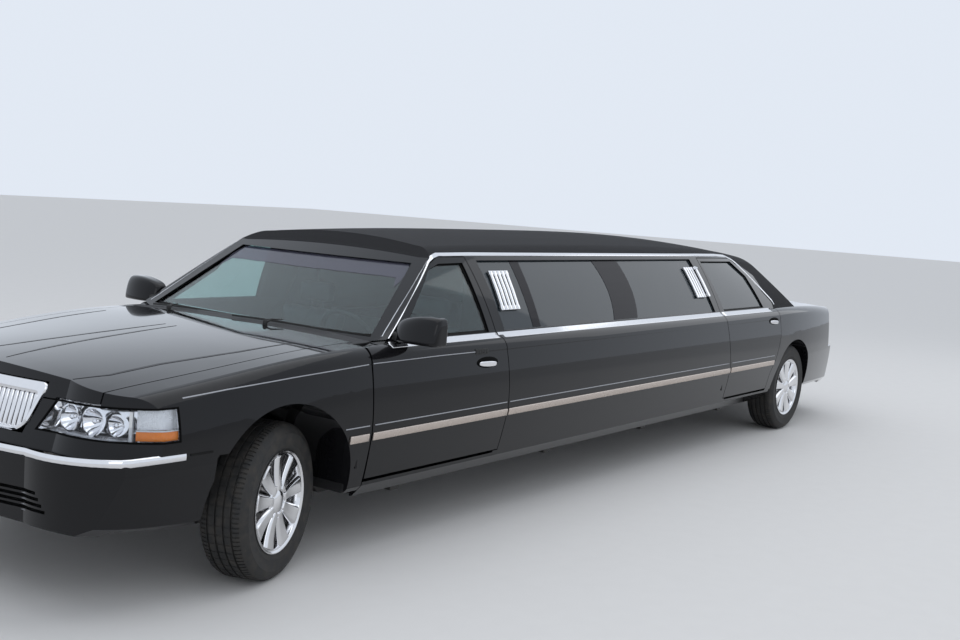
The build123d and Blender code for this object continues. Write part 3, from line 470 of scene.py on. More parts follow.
def met_surely(nodes: str, start: Sequence[float], way: Sequence[float]) -> Vector:
    """As met, where a miss is a fault.

    Args:
        nodes: the CAD nodes, parted by spaces.
        start: where the ray starts.
        way: its direction, one metre long.

    Returns:
        The point on the skin.
    """
    place = met(nodes, start, way)
    if place is None:
        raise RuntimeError(f"no skin of {nodes} from {tuple(start)}")
    return place


def flank_y(node: str, x: float, z: float) -> float:
    """Y of a node's outer skin on the car's left."""
    return met_surely(node, (x, CLEAR_OF_CAR, z), INWARDS).y


def front_x(node: str, y: float, z: float) -> float:
    """X of a node's skin seen from ahead of the car."""
    return met_surely(node, (FAR_ALONG, y, z), BACKWARDS).x


class Blank:
    """One piece in the making: a primitive, worked in edit mode and finished with modifiers."""

    def __init__(self, name: str) -> None:
        """Takes the active object as the blank.

        Args:
            name: the piece's name.
        """
        self.object = bpy.context.object
        self.object.name = name
        self.object.data.name = name

    @classmethod
    def block(cls, name: str, low: Point, high: Point) -> "Blank":
        """A cube primitive between two corners.

        Args:
            name: the piece's name.
            low: lowest corner.
            high: highest corner.

        Returns:
            The blank, its place in its mesh.
        """
        deselect()
        middle = [(a + b) / 2 for a, b in zip(low, high)]
        bpy.ops.mesh.primitive_cube_add(size=1, location=middle, scale=[b - a for a, b in zip(low, high)])
        bpy.ops.object.transform_apply(location=True, rotation=True, scale=True)
        return cls(name)

    @classmethod
    def rod(cls, name: str, start: Point, end: Point, radius: float) -> "Blank":
        """A cylinder primitive between two points.

        Args:
            name: the piece's name.
            start: centre of one end.
            end: centre of the other.
            radius: its radius.

        Returns:
            The blank.
        """
        deselect()
        a, b = Vector(start), Vector(end)
        turn = (b - a).to_track_quat("Z", "Y").to_euler()
        bpy.ops.mesh.primitive_cylinder_add(
            vertices=24, radius=radius, depth=(b - a).length, location=(a + b) / 2, rotation=turn
        )
        bpy.ops.object.transform_apply(location=True, rotation=True, scale=True)
        return cls(name)

    @classmethod
    def ball(cls, name: str, centre: Point, radii: Point, segments: int = 32) -> "Blank":
        """A sphere primitive with three radii.

        Args:
            name: the piece's name.
            centre: its centre.
            radii: its radius along each axis.
            segments: meridians.

        Returns:
            The blank.
        """
        deselect()
        bpy.ops.mesh.primitive_uv_sphere_add(
            segments=segments, ring_count=segments // 2, radius=1, location=centre, scale=radii
        )
        bpy.ops.object.transform_apply(location=True, rotation=True, scale=True)
        return cls(name)

    @classmethod
    def seed(cls, name: str, place: Point) -> "Blank":
        """A plane primitive merged to one vertex, from which edges are extruded.

        Args:
            name: the piece's name.
            place: where the vertex is.

        Returns:
            The blank, left in edit mode with its vertex selected.
        """
        deselect()
        bpy.ops.mesh.primitive_plane_add(size=0.01, location=place)
        bpy.ops.object.transform_apply(location=True, rotation=True, scale=True)
        made = cls(name)
        bpy.ops.object.mode_set(mode="EDIT")
        bpy.ops.mesh.select_mode(type="VERT")
        bpy.ops.mesh.select_all(action="SELECT")
        bpy.ops.mesh.merge(type="CENTER")
        bpy.ops.mesh.select_all(action="SELECT")
        return made

    @classmethod
    def spun(cls, name: str, profile: Sequence[Pair], steps: int) -> "Blank":
        """A profile spun once round the Y axis.

        Args:
            name: the piece's name.
            profile: points of (radius, y) in order.
            steps: steps round.

        Returns:
            The blank.
        """
        radius, along = profile[0]
        made = cls.seed(name, (radius, along, 0))
        for (r0, y0), (r1, y1) in zip(profile, profile[1:]):
            bpy.ops.mesh.extrude_vertices_move(TRANSFORM_OT_translate={"value": (r1 - r0, y1 - y0, 0)})
        bpy.ops.mesh.select_all(action="SELECT")
        bpy.ops.mesh.spin(steps=steps, angle=2 * pi, center=(0, 0, 0), axis=(0, 1, 0))
        made.weld(0.00005)
        return made

    @classmethod
    def band(cls, name: str, rows: Sequence[Sequence[Point]]) -> "Blank":
        """A ribbon of faces through rows of points.

        Args:
            name: the piece's name.
            rows: the points across the ribbon at each station.

        Returns:
            The blank.
        """
        made = cls.seed(name, rows[0][0])
        for a, b in zip(rows[0], rows[0][1:]):
            step = Vector(b) - Vector(a)
            bpy.ops.mesh.extrude_vertices_move(TRANSFORM_OT_translate={"value": step})
        bpy.ops.mesh.select_all(action="SELECT")
        for last, row in zip(rows, rows[1:]):
            step = Vector(row[0]) - Vector(last[0])
            bpy.ops.mesh.extrude_region_move(TRANSFORM_OT_translate={"value": step})
            work = made.mesh()
            for vertex in [v for v in work.verts if v.select]:
                nearest = min(range(len(last)), key=lambda i: (Vector(last[i]) + step - vertex.co).length)
                vertex.co = row[nearest]
            made.update()
        made.weld(0.00001)
        return made

    @classmethod
    def of_node(cls, name: str, node: str) -> "Blank":
        """A merged copy of a CAD node's mesh.

        Args:
            name: the piece's name.
            node: the CAD node.

        Returns:
            The blank.
        """
        deselect()
        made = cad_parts[node].copy()
        made.data = made.data.copy()
        made.parent = None
        made.matrix_world = Matrix.Identity(4)
        for key in list(made.keys()):
            del made[key]
        bpy.context.scene.collection.objects.link(made)
        bpy.context.view_layer.objects.active = made
        return cls(name).weld(0.00001)

    def mesh(self) -> bmesh.types.BMesh:
        """The edit mesh, in edit mode.

        Returns:
            The edit mesh.
        """
        bpy.context.view_layer.objects.active = self.object
        if self.object.mode != "EDIT":
            bpy.ops.object.mode_set(mode="EDIT")
        return bmesh.from_edit_mesh(self.object.data)

    def update(self) -> None:
        """Writes the edit mesh back."""
        bmesh.update_edit_mesh(self.object.data)

    def weld(self, distance: float) -> "Blank":
        """Merges doubles, points the faces outwards and leaves edit mode.

        Args:
            distance: vertices nearer than this are merged.

        Returns:
            This piece.
        """
        self.mesh()
        bpy.ops.mesh.select_all(action="SELECT")
        bpy.ops.mesh.remove_doubles(threshold=distance)
        bpy.ops.mesh.normals_make_consistent(inside=False)
        bpy.ops.object.mode_set(mode="OBJECT")
        return self

    def pick_faces(self, test: Callable[[bmesh.types.BMFace], bool]) -> "Blank":
        """Selects the faces that pass a test, in edit mode.

        Args:
            test: says whether a face is selected.

        Returns:
            This piece.
        """
        work = self.mesh()
        bpy.ops.mesh.select_mode(type="FACE")
        bpy.ops.mesh.select_all(action="DESELECT")
        for face in filter(test, work.faces):
            face.select_set(True)
        self.update()
        return self

    def keep_border(self, width: float, flatness: float) -> "Blank":
        """Cuts an open skin down to a band along its edge.

        Args:
            width: the band's width.
            flatness: faces that turn by less, in degrees, are made one first.

        Returns:
            The band.
        """
        self.mesh()
        bpy.ops.mesh.select_all(action="SELECT")
        bpy.ops.mesh.dissolve_limited(angle_limit=radians(flatness), use_dissolve_boundaries=False)
        bpy.ops.mesh.select_all(action="SELECT")
        bpy.ops.mesh.inset(thickness=width, depth=0.0, use_boundary=True, use_even_offset=True)
        bpy.ops.mesh.delete(type="FACE")
        bpy.ops.mesh.select_all(action="SELECT")
        bpy.ops.mesh.delete_loose()
        return self.leave()

    def push(self, distance: float) -> "Blank":
        """Extrudes the selected faces along their normals.

        Args:
            distance: how far, outwards if above 0.

        Returns:
            This piece.
        """
        bpy.ops.mesh.extrude_region_shrink_fatten(
            TRANSFORM_OT_shrink_fatten={"value": distance, "use_even_offset": False}
        )
        return self

    def cut(self, axis: int, *places: float) -> "Blank":
        """Bisects the whole mesh across an axis at each place.

        Args:
            axis: 0 for X, 1 for Y, 2 for Z.
            places: where each cut lies along the axis.

        Returns:
            This piece.
        """
        normal = [float(way == axis) for way in range(3)]
        for place in places:
            self.mesh()
            bpy.ops.mesh.select_all(action="SELECT")
            bpy.ops.mesh.bisect(plane_co=[place * part for part in normal], plane_no=normal)
        return self.leave()

    def bend_points(self, move: Callable[[Vector], Vector]) -> "Blank":
        """Moves every vertex.

        Args:
            move: gives a vertex's new place.

        Returns:
            The blank.
        """
        work = self.mesh()
        for vertex in work.verts:
            vertex.co = move(vertex.co.copy())
        self.update()
        return self.leave()

    def leave(self) -> "Blank":
        """Leaves edit mode.

        Returns:
            This piece.
        """
        if self.object.mode != "OBJECT":
            bpy.ops.object.mode_set(mode="OBJECT")
        return self

    def modifier(self, kind: str, **settings: object) -> "Blank":
        """Adds a modifier and applies it.

        Args:
            kind: the modifier's type.
            settings: its settings.

        Returns:
            The blank.
        """
        self.leave()
        made = self.object.modifiers.new(kind.lower(), kind)
        for key, value in settings.items():
            setattr(made, key, value)
        bpy.context.view_layer.objects.active = self.object
        bpy.ops.object.modifier_apply(modifier=made.name)
        return self

    def thicken(self, thickness: float, offset: float = -1.0) -> "Blank":
        """Gives a sheet a thickness, inwards for an offset of -1."""
        return self.modifier("SOLIDIFY", thickness=thickness, offset=offset, use_even_offset=True)

    def soften(self, width: float, segments: int = 2, angle: float = 30.0) -> "Blank":
        """Rounds the edges that turn by more than an angle.

        Args:
            width: the rounding's width.
            segments: facets across it.
            angle: the least turn, in degrees.

        Returns:
            This piece.
        """
        return self.modifier(
            "BEVEL", width=width, segments=segments, limit_method="ANGLE", angle_limit=radians(angle)
        )

    def subdivide(self, levels: int) -> "Blank":
        """Smooths the piece with a subdivision surface."""
        return self.modifier("SUBSURF", levels=levels, render_levels=levels)

    def alone(self) -> "Blank":
        """Leaves edit mode with only this piece selected.

        Returns:
            This piece.
        """
        self.leave()
        bpy.ops.object.select_all(action="DESELECT")
        self.object.select_set(True)
        bpy.context.view_layer.objects.active = self.object
        return self

    def shade(self, angle: float = 35.0) -> "Blank":
        """Shades smooth below an angle.

        Args:
            angle: the angle in degrees.

        Returns:
            This piece.
        """
        self.alone()
        bpy.ops.object.shade_smooth_by_angle(angle=radians(angle))
        return self

    def place(self, matrix: Matrix) -> "Blank":
        """Moves the piece by a matrix and applies it.

        Args:
            matrix: the move.

        Returns:
            This piece.
        """
        self.alone()
        self.object.matrix_world = matrix
        bpy.ops.object.transform_apply(location=True, rotation=True, scale=True)
        return self

    def copy(self, name: str) -> "Blank":
        """A copy of the piece with its own mesh.

        Args:
            name: the copy's name.

        Returns:
            The copy.
        """
        self.alone()
        bpy.ops.object.duplicate(linked=False)
        return Blank(name)

    def mirrored(self, name: str) -> "Blank":
        """A mirrored copy on the other side of the car.

        Args:
            name: the copy's name.

        Returns:
            The copy.
        """
        made = self.copy(name)
        made.mesh()
        bpy.ops.mesh.select_all(action="SELECT")
        bpy.ops.transform.resize(value=(1, -1, 1), center_override=(0, 0, 0))
        bpy.ops.mesh.flip_normals()
        return made.leave()

    def join(self, name: str, others: Sequence["Blank"]) -> "Blank":
        """Joins other blanks into this one.

        Args:
            name: the name of the whole.
            others: the blanks to join.

        Returns:
            This blank.
        """
        self.alone()
        for other in others:
            other.object.select_set(True)
        bpy.ops.object.join()
        self.object.name = name
        return self

    def dress(self, body: str, finish: Finish, slot: str = "") -> bpy.types.Object:
        """Gives the finished piece its material and body, and reports it.

        Args:
            body: the CAD body it rides on.
            finish: its finish.
            slot: the record's material slot, where it isn't the finish's own; not used.

        Returns:
            The Blender object.
        """
        self.leave()
        self.object.data.materials.clear()
        self.object.data.materials.append(finish.material())
        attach(self.object, body)
        log.info("%s rides on %s, %d faces", self.object.name, body, len(self.object.data.polygons))
        return self.object

    def dress_pair(self, body: str, finish: Finish, slot: str = "") -> list[bpy.types.Object]:
        """Dresses a left piece, and a mirrored copy of it.

        Args:
            body: the CAD body, with a star where the side's name stands.
            finish: their finish.
            slot: the record's material slot, where it isn't the finish's own.

        Returns:
            The left and the right Blender object.
        """
        other = self.mirrored(self.object.name.replace("left", "right"))
        return [one.dress(body.replace("*", side.word), finish, slot) for one, side in zip((self, other), Side)]


def ahead(x: float) -> float:
    """X in the car's frame of a place given from the front axle."""
    return FRONT_AXLE_X + x


def stations(points: Sequence[Pair], step: float) -> list[Pair]:
    """Points along a path of straight runs, about a step apart.

    Args:
        points: corners of the path, as (x, z).
        step: distance between points.

    Returns:
        The corners and the points between them.
    """
    made = [points[0]]
    for (x0, z0), (x1, z1) in zip(points, points[1:]):
        run = ((x1 - x0) ** 2 + (z1 - z0) ** 2) ** 0.5
        count = max(1, round(run / step))
        made += [(x0 + (x1 - x0) * k / count, z0 + (z1 - z0) * k / count) for k in range(1, count + 1)]
    return made


def ribbon_rows(path: Sequence[Pair], width: float) -> list[list[Point]]:
    """Rows of three points across a ribbon that follows a path in side view.

    Args:
        path: centre points as (x, z), from the front back.
        width: the ribbon's width.

    Returns:
        One row per point of the path.
    """
    rows = []
    for i, (x, z) in enumerate(path):
        before, after = path[max(i - 1, 0)], path[min(i + 1, len(path) - 1)]
        way = Vector((after[0] - before[0], 0, after[1] - before[1])).normalized()
        up = Vector((way.z, 0, -way.x)) * (width / 2)
        centre = Vector((x, 0, z))
        rows.append([tuple(centre - up), tuple(centre), tuple(centre + up)])
    return rows


def laid(rows: Sequence[Sequence[Point]], nodes: str, proud: float) -> list[list[Point]]:
    """Rows of points laid on the left flank along Y.

    Args:
        rows: the rows, whose Y is not used.
        nodes: the CAD nodes they lie on, parted by spaces.
        proud: how far off the skin they stand.

    Returns:
        The rows that met the flank at every point.
    """
    kept = []
    for row in rows:
        found = [met(nodes, (x, CLEAR_OF_CAR, z), INWARDS) for x, _, z in row]
        if all(place is not None and place.y > FLANK_STARTS_Y for place in found):
            kept.append([(x, place.y + proud, z) for (x, _, z), place in zip(row, found)])
    return kept


def draped(rows: Sequence[Sequence[Pair]], nodes: str, proud: float) -> list[list[Point]]:
    """Rows of points laid on CAD skins from above.

    Args:
        rows: the rows, with points as (x, y).
        nodes: the CAD nodes they lie on, parted by spaces.
        proud: how far above the skin they stand.

    Returns:
        The rows that met a skin at every point.
    """
    kept = []
    for row in rows:
        found = [met(nodes, (x, y, WELL_CLEAR), DOWNWARDS) for x, y in row]
        if None not in found:
            kept.append([(x, y, place.z + proud) for (x, y), place in zip(row, found)])
    return kept


def side_strip(name: str, path: Sequence[Pair], width: float, nodes: str, proud: float) -> Blank:
    """A strip on the car's left flank, laid on the panels it is fixed to.

    Args:
        name: the piece's name.
        path: centre points as (x, z) from the front back.
        width: its width.
        nodes: the CAD nodes it lies on, parted by spaces.
        proud: how far it stands off the panel.

    Returns:
        The strip.
    """
    made = Blank.band(name, laid(ribbon_rows(path, width), nodes, proud))
    made.thicken(proud + 0.0015)
    made.soften(min(proud, width / 2) * 0.45)
    return made.shade(50)


def outline(nodes: str, centre: Pair, z: float, angles: Pair, count: int, inset: float = 0.0) -> list[Vector]:
    """Points round CAD skins in plan, met by rays towards a centre.

    Args:
        nodes: the CAD nodes, parted by spaces, of which the outermost counts.
        centre: the centre as (x, y).
        z: the height.
        angles: first and last angle in degrees, from +X towards +Y.
        count: how many rays.
        inset: how far inside the skin the points lie.

    Returns:
        The points, in order of angle, without the rays that miss.
    """
    middle = Vector((*centre, z))
    found = []
    for k in range(count):
        angle = radians(angles[0] + (angles[1] - angles[0]) * k / (count - 1))
        way = Vector((cos(angle), sin(angle), 0))
        place = met(nodes, middle + way * WELL_CLEAR, -way)
        if place is not None and (place - middle).dot(way) > 0.05:
            found.append(place - way * inset)
    return found


def wall_band(name: str, points: Sequence[Vector], levels: Sequence[Pair], thickness: float) -> Blank:
    """An upright band that follows points in plan.

    Args:
        name: the piece's name.
        points: the plan.
        levels: for each edge across the band, its height and how far it stands outside the points.
        thickness: the band's thickness, inwards.

    Returns:
        The band.
    """
    rows = []
    for i, point in enumerate(points):
        run = points[min(i + 1, len(points) - 1)] - points[max(i - 1, 0)]
        out = Vector((run.y, -run.x, 0)).normalized()
        rows.append([(point.x + out.x * away, point.y + out.y * away, z) for z, away in levels])
    return Blank.band(name, rows).thicken(thickness, 0.0)


# ---------------------------------------------------------------- sub-assemblies


@dataclass
class Bodywork:
    """The CAD nodes and the finish of each."""

    finishes: tuple[tuple[Finish, str], ...] = (
        (
            Finishes.paint,
            "hood header_panel front_fenders front_bumper stretch_panels rocker_panels quarter_panels rear_bumper"
            " trunk_lid upper_frame front_door_* rear_door_* mirror_*",
        ),
        (Finishes.vinyl, "vinyl_roof"),
        (Finishes.screen, "windshield"),
        (Finishes.privacy, "rear_glass stretch_glass rear_door_glass_*"),
        (Finishes.door_glass, "front_door_glass_*"),
        (Finishes.lens, "headlamp_lenses"),
        (Finishes.red, "tail_lamps"),
        (Finishes.chrome, "grille pillar_ornaments"),
        (Finishes.bowl, "headlamp_housings"),
        (Finishes.frame_black, "chassis_frame"),
        (Finishes.under, "floor_pan"),
        (Finishes.iron, "engine_block driveshaft rear_axle front_suspension knuckle_*"),
        (Finishes.steel, "exhaust"),
        (Finishes.dash, "cowl dashboard steering_wheel"),
        (Finishes.lining, "partition"),
        (Finishes.leather, "front_seats lounge_seats"),
        (Finishes.wheel, "wheel_front_* wheel_rear_*"),
        (Finishes.tread, "tyre_front_* tyre_rear_*"),
    )

    def dress(self) -> None:
        """Gives every CAD node its material."""
        for finish, nodes in self.finishes:
            for node in nodes.split():
                for name in dict.fromkeys(node.replace("*", side.word) for side in Side):
                    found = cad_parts[name]
                    found.data.materials.clear()
                    found.data.materials.append(finish.material())
                    log.info("%s: %s", name, finish.name)


@dataclass
class Mouldings:
    """Bright and satin strips along the flanks."""

    belt_z: float = 1.007
    belt_width: float = 0.024
    side_z: float = 0.594
    side_width: float = 0.038
    crease_z: float = 0.649
    # Width of the pale strip painted along the crease as its highlight.
    bead_width: float = 0.005
    stripe_width: float = 0.0045
    stripe_proud: float = 0.0006
    drip_width: float = 0.015
    drip_proud: float = 0.006
    step: float = 0.045
    # The CAD nodes of each panel, and its body.
    panels: ClassVar[dict[str, tuple[str, str]]] = {
        "fender": ("front_fenders", "body"),
        "front_door": ("front_door_left", "front_door_*"),
        "middle": ("stretch_panels", "body"),
        "rear_door": ("rear_door_left", "rear_door_*"),
        "roof_edge": ("upper_frame vinyl_roof", "body"),
    }

    def run(self, kind: str, z: float, width: float, proud: float, finish: Finish, ends: dict) -> None:
        """Lays one level strip over the panels it crosses.

        Args:
            kind: the strip's name.
            z: its height.
            width: its width.
            proud: how far it stands out.
            finish: its finish.
            ends: for each panel, its front end and its rear end.
        """
        for panel, (front, rear) in ends.items():
            self.lay(f"{kind}_{panel}", [(front, z), (rear, z)], width, proud, panel, finish)

    def lay(self, name: str, places: Sequence[Pair], width: float, proud: float, panel: str, finish: Finish) -> None:
        """Lays one strip on the left and its copy on the right.

        Args:
            name: the strip's name without the side.
            places: the corners of its line, as x from the front axle and z.
            width: its width.
            proud: how far it stands out.
            panel: which of the panels it lies on.
            finish: its finish.
        """
        nodes, body = self.panels[panel]
        path = stations([(ahead(x), z) for x, z in places], self.step)
        side_strip(f"{name}_left", path, width, nodes, proud).dress_pair(body, finish)

    def build(self) -> None:
        """Lays every strip."""
        self.run(
            "belt_strip", self.belt_z, self.belt_width, 0.005, Finishes.chrome,
            {"front_door": (-0.575, -1.598), "middle": (-1.613, -4.432), "rear_door": (-4.449, -5.335)},
        )
        self.run(
            "side_moulding", self.side_z, self.side_width, 0.009, Finishes.satin,
            {
                "fender": (-0.378, -0.506), "front_door": (-0.534, -1.628), "middle": (-1.642, -4.494),
                "rear_door": (-4.512, -5.318),
            },
        )
        # Painted highlight: a pale strip along the body crease, standing for the light the crease catches.
        self.run(
            "crease_bead", self.crease_z, self.bead_width, 0.0022, Finishes.piping,
            {
                "fender": (-0.345, -0.508), "front_door": (-0.545, -1.622), "middle": (-1.650, -4.488),
                "rear_door": (-4.520, -5.318),
            },
        )
        for name, panel, places in (
            ("pinstripe_fender", "fender", [(0.593, 0.869), (0.33, 0.89), (-0.032, 0.911), (-0.508, 0.932)]),
            ("pinstripe_door", "front_door", [(-0.54, 0.9335), (-1.05, 0.937), (-1.36, 0.936)]),
        ):
            self.lay(name, places, self.stripe_width, self.stripe_proud, panel, Finishes.piping)
        drip = [
            (-0.612, 1.014), (-0.718, 1.033), (-1.218, 1.382), (-1.262, 1.408), (-1.32, 1.4195), (-1.60, 1.4225),
            (-4.40, 1.419), (-4.75, 1.4165), (-4.955, 1.409), (-5.02, 1.383), (-5.09, 1.338), (-5.445, 1.072),
            (-5.462, 1.040),
        ]
        self.lay("drip_moulding", drip, self.drip_width, self.drip_proud, "roof_edge", Finishes.chrome)


@dataclass
class Tyres:
    """The four tyres and the wheels inside them."""

    hub_z: float = 0.350
    pitches: int = 104
    cut_depth: float = 0.004
    sipe_depth: float = 0.002
    steer: float = 18.5
    kingpin_y: float = 0.770
    scrub: float = 0.035
    rear_track: float = 0.833
    spokes: int = 9
    spoke_foot: float = 0.052
    spoke_tip: float = 0.210

    def places(self) -> dict[str, Matrix]:
        """Where each wheel stands, from a wheel centred at the origin with +Y outboard.

        Returns:
            A matrix for each corner of the car.
        """
        lift = Matrix.Translation((0, 0, self.hub_z))
        turn = Matrix.Rotation(radians(self.steer), 4, "Z")
        flip = Matrix.Rotation(pi, 4, "Z")
        found = {}
        for side in Side:
            king = Matrix.Translation((FRONT_AXLE_X, side.value * self.kingpin_y, 0))
            out = Matrix.Translation((0, side.value * self.scrub, 0))
            face = Matrix.Identity(4) if side is Side.LEFT else flip
            found[f"front_{side.word}"] = king @ turn @ out @ lift @ face
            axle_end = Matrix.Translation((REAR_AXLE_X, side.value * self.rear_track, 0))
            found[f"rear_{side.word}"] = axle_end @ lift @ face
        return found

    def tyre(self) -> Blank:
        """One tyre with ribs, grooves and shoulder cuts.

        Returns:
            The tyre, about the origin.
        """
        # Radius and y of the outer half, from the bead out and round to the middle.
        half = [
            (0.2166, 0.0973), (0.2322, 0.0973), (0.2360, 0.1000), (0.2500, 0.1052), (0.2560, 0.1076),
            (0.2580, 0.1070), (0.2800, 0.1122), (0.3000, 0.1118), (0.3030, 0.1128), (0.3060, 0.1112),
            (0.3200, 0.1066), (0.3340, 0.0985), (0.3420, 0.0890), (0.3465, 0.0790), (0.3490, 0.0680),
            (0.3498, 0.0600), (0.3420, 0.0590), (0.3420, 0.0515), (0.3500, 0.0505), (0.3500, 0.0235),
            (0.3420, 0.0225), (0.3420, 0.0150), (0.3500, 0.0140),
        ]
        profile = half + [(r, -y) for r, y in reversed(half)] + [half[0]]
        made = Blank.spun("tyre", profile, self.pitches * 3)
        pitch = 2 * pi / self.pitches

        def shoulder_cut(face: bmesh.types.BMFace) -> bool:
            """Whether a face is the floor of a cut in the shoulder, a third of each pitch.

            Args:
                face: a face of the tyre.

            Returns:
                True for a face that is pressed in.
            """
            centre = face.calc_center_median()
            share = (atan2(centre.z, centre.x) % pitch) / pitch
            rib = 0.0600 < abs(centre.y) < 0.0985
            return rib and share < 0.34 and centre.xz.length > 0.338

        def sipe(face: bmesh.types.BMFace) -> bool:
            """Whether a face is the floor of a thin cut across a rib, one in every second pitch.

            Args:
                face: a face of the tyre.

            Returns:
                True for a face that is pressed in.
            """
            centre = face.calc_center_median()
            share = (atan2(centre.z, centre.x) % (2 * pitch)) / (2 * pitch)
            rib = 0.0235 < abs(centre.y) < 0.0505 or abs(centre.y) < 0.0140
            return rib and share < 0.17 and centre.xz.length > 0.349

        made.pick_faces(shoulder_cut).push(-self.cut_depth)
        made.pick_faces(sipe).push(-self.sipe_depth)
        return made.shade(32)

    def rim(self) -> Blank:
        """The rim's barrel and lips, from radius and y.

        Returns:
            The rim, about the origin.
        """
        profile = [
            (0.2290, 0.1040), (0.2290, 0.0985), (0.2160, 0.0975), (0.2160, 0.0560), (0.2030, 0.0300),
            (0.2030, -0.0580), (0.2160, -0.0700), (0.2160, -0.0980), (0.2290, -0.0980), (0.2290, -0.1040),
            (0.2100, -0.1040), (0.2070, -0.0640), (0.1950, -0.0540), (0.1950, 0.0340), (0.2060, 0.0580),
            (0.2085, 0.0920), (0.2120, 0.0985), (0.2200, 0.1000), (0.2250, 0.1040), (0.2290, 0.1040),
        ]
        return Blank.spun("rim", profile, 96).shade(40)

    def spoke(self) -> Blank:
        """One broad spoke with two ridges and a channel between them.

        Returns:
            The spoke that stands straight up.
        """
        low, high = self.spoke_foot, self.spoke_tip
        made = Blank.block("spoke", (-0.024, 0.064, low), (0.024, 0.088, high))
        made.cut(2, 0.075, 0.12, 0.165, 0.198)
        made.cut(0, -0.017, -0.006, 0.006, 0.017)

        def shape(p: Vector) -> Vector:
            """Widens the spoke towards the rim, raises its two ridges and dishes its face.

            Args:
                p: a vertex's place.

            Returns:
                Its new place.
            """
            share = (p.z - low) / (high - low)
            width = 0.86 + 1.08 * share
            ridge = 0.011 if 0.004 < abs(p.x) < 0.02 else 0
            dish = 0.006 * sin(pi * min(max(share, 0), 1))
            crown = (ridge - dish + 0.003 * share) if p.y > 0.08 else 0.006
            return Vector((p.x * width, p.y + crown, p.z - 0.5 * (p.x * width) ** 2 / 0.2 * share))

        return made.bend_points(shape).soften(0.0028, 3, 25).shade(45)

    def star(self) -> Blank:
        """All the wheel's spokes.

        Returns:
            The spokes as one piece.
        """
        first = self.spoke()
        angles = [2 * pi * k / self.spokes for k in range(1, self.spokes)]
        others = [first.copy("spoke").place(Matrix.Rotation(angle, 4, "Y")) for angle in angles]
        return first.join("spokes", others)

    def hub(self) -> Blank:
        """The hub and its cap, from radius and y.

        Returns:
            The hub, about the origin.
        """
        profile = [
            (0.0230, -0.0080), (0.0740, -0.0080), (0.0740, 0.0620), (0.0780, 0.0760), (0.0790, 0.0880),
            (0.0740, 0.0950), (0.0680, 0.0930), (0.0660, 0.0860), (0.0580, 0.0900), (0.0400, 0.0985),
            (0.0180, 0.1025), (0.0004, 0.1035), (0.0004, 0.0620), (0.0230, 0.0620), (0.0230, -0.0080),
        ]
        return Blank.spun("hub", profile, 64).shade(35)

    def disc(self) -> Blank:
        """The brake disc with its hat, from radius and y.

        Returns:
            The disc, about the origin.
        """
        profile = [
            (0.0600, -0.0080), (0.1520, -0.0080), (0.1520, -0.0010), (0.1460, -0.0010), (0.1460, 0.0040),
            (0.1520, 0.0040), (0.1520, 0.0120), (0.0900, 0.0120), (0.0860, 0.0300), (0.0600, 0.0300),
            (0.0600, -0.0080),
        ]
        return Blank.spun("disc", profile, 64).shade(35)

    def build(self) -> None:
        """Makes one wheel and tyre, and copies them to the four corners."""
        kinds = (
            (self.tyre(), "tread", Finishes.tread, "tyre_"),
            (self.rim(), "rim", Finishes.wheel, "wheel_"),
            (self.star(), "spokes", Finishes.wheel, ""),
            (self.hub(), "hub_cap", Finishes.wheel, ""),
            (self.disc(), "brake_disc", Finishes.disc, ""),
        )
        for corner, matrix in self.places().items():
            for blank, name, finish, node in kinds:
                made = blank.copy(f"{name}_{corner}").place(matrix).dress(f"wheel_{corner}", finish)
                if node:
                    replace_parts(made, node + corner)
        for blank, *_ in kinds:
            bpy.data.objects.remove(blank.object)


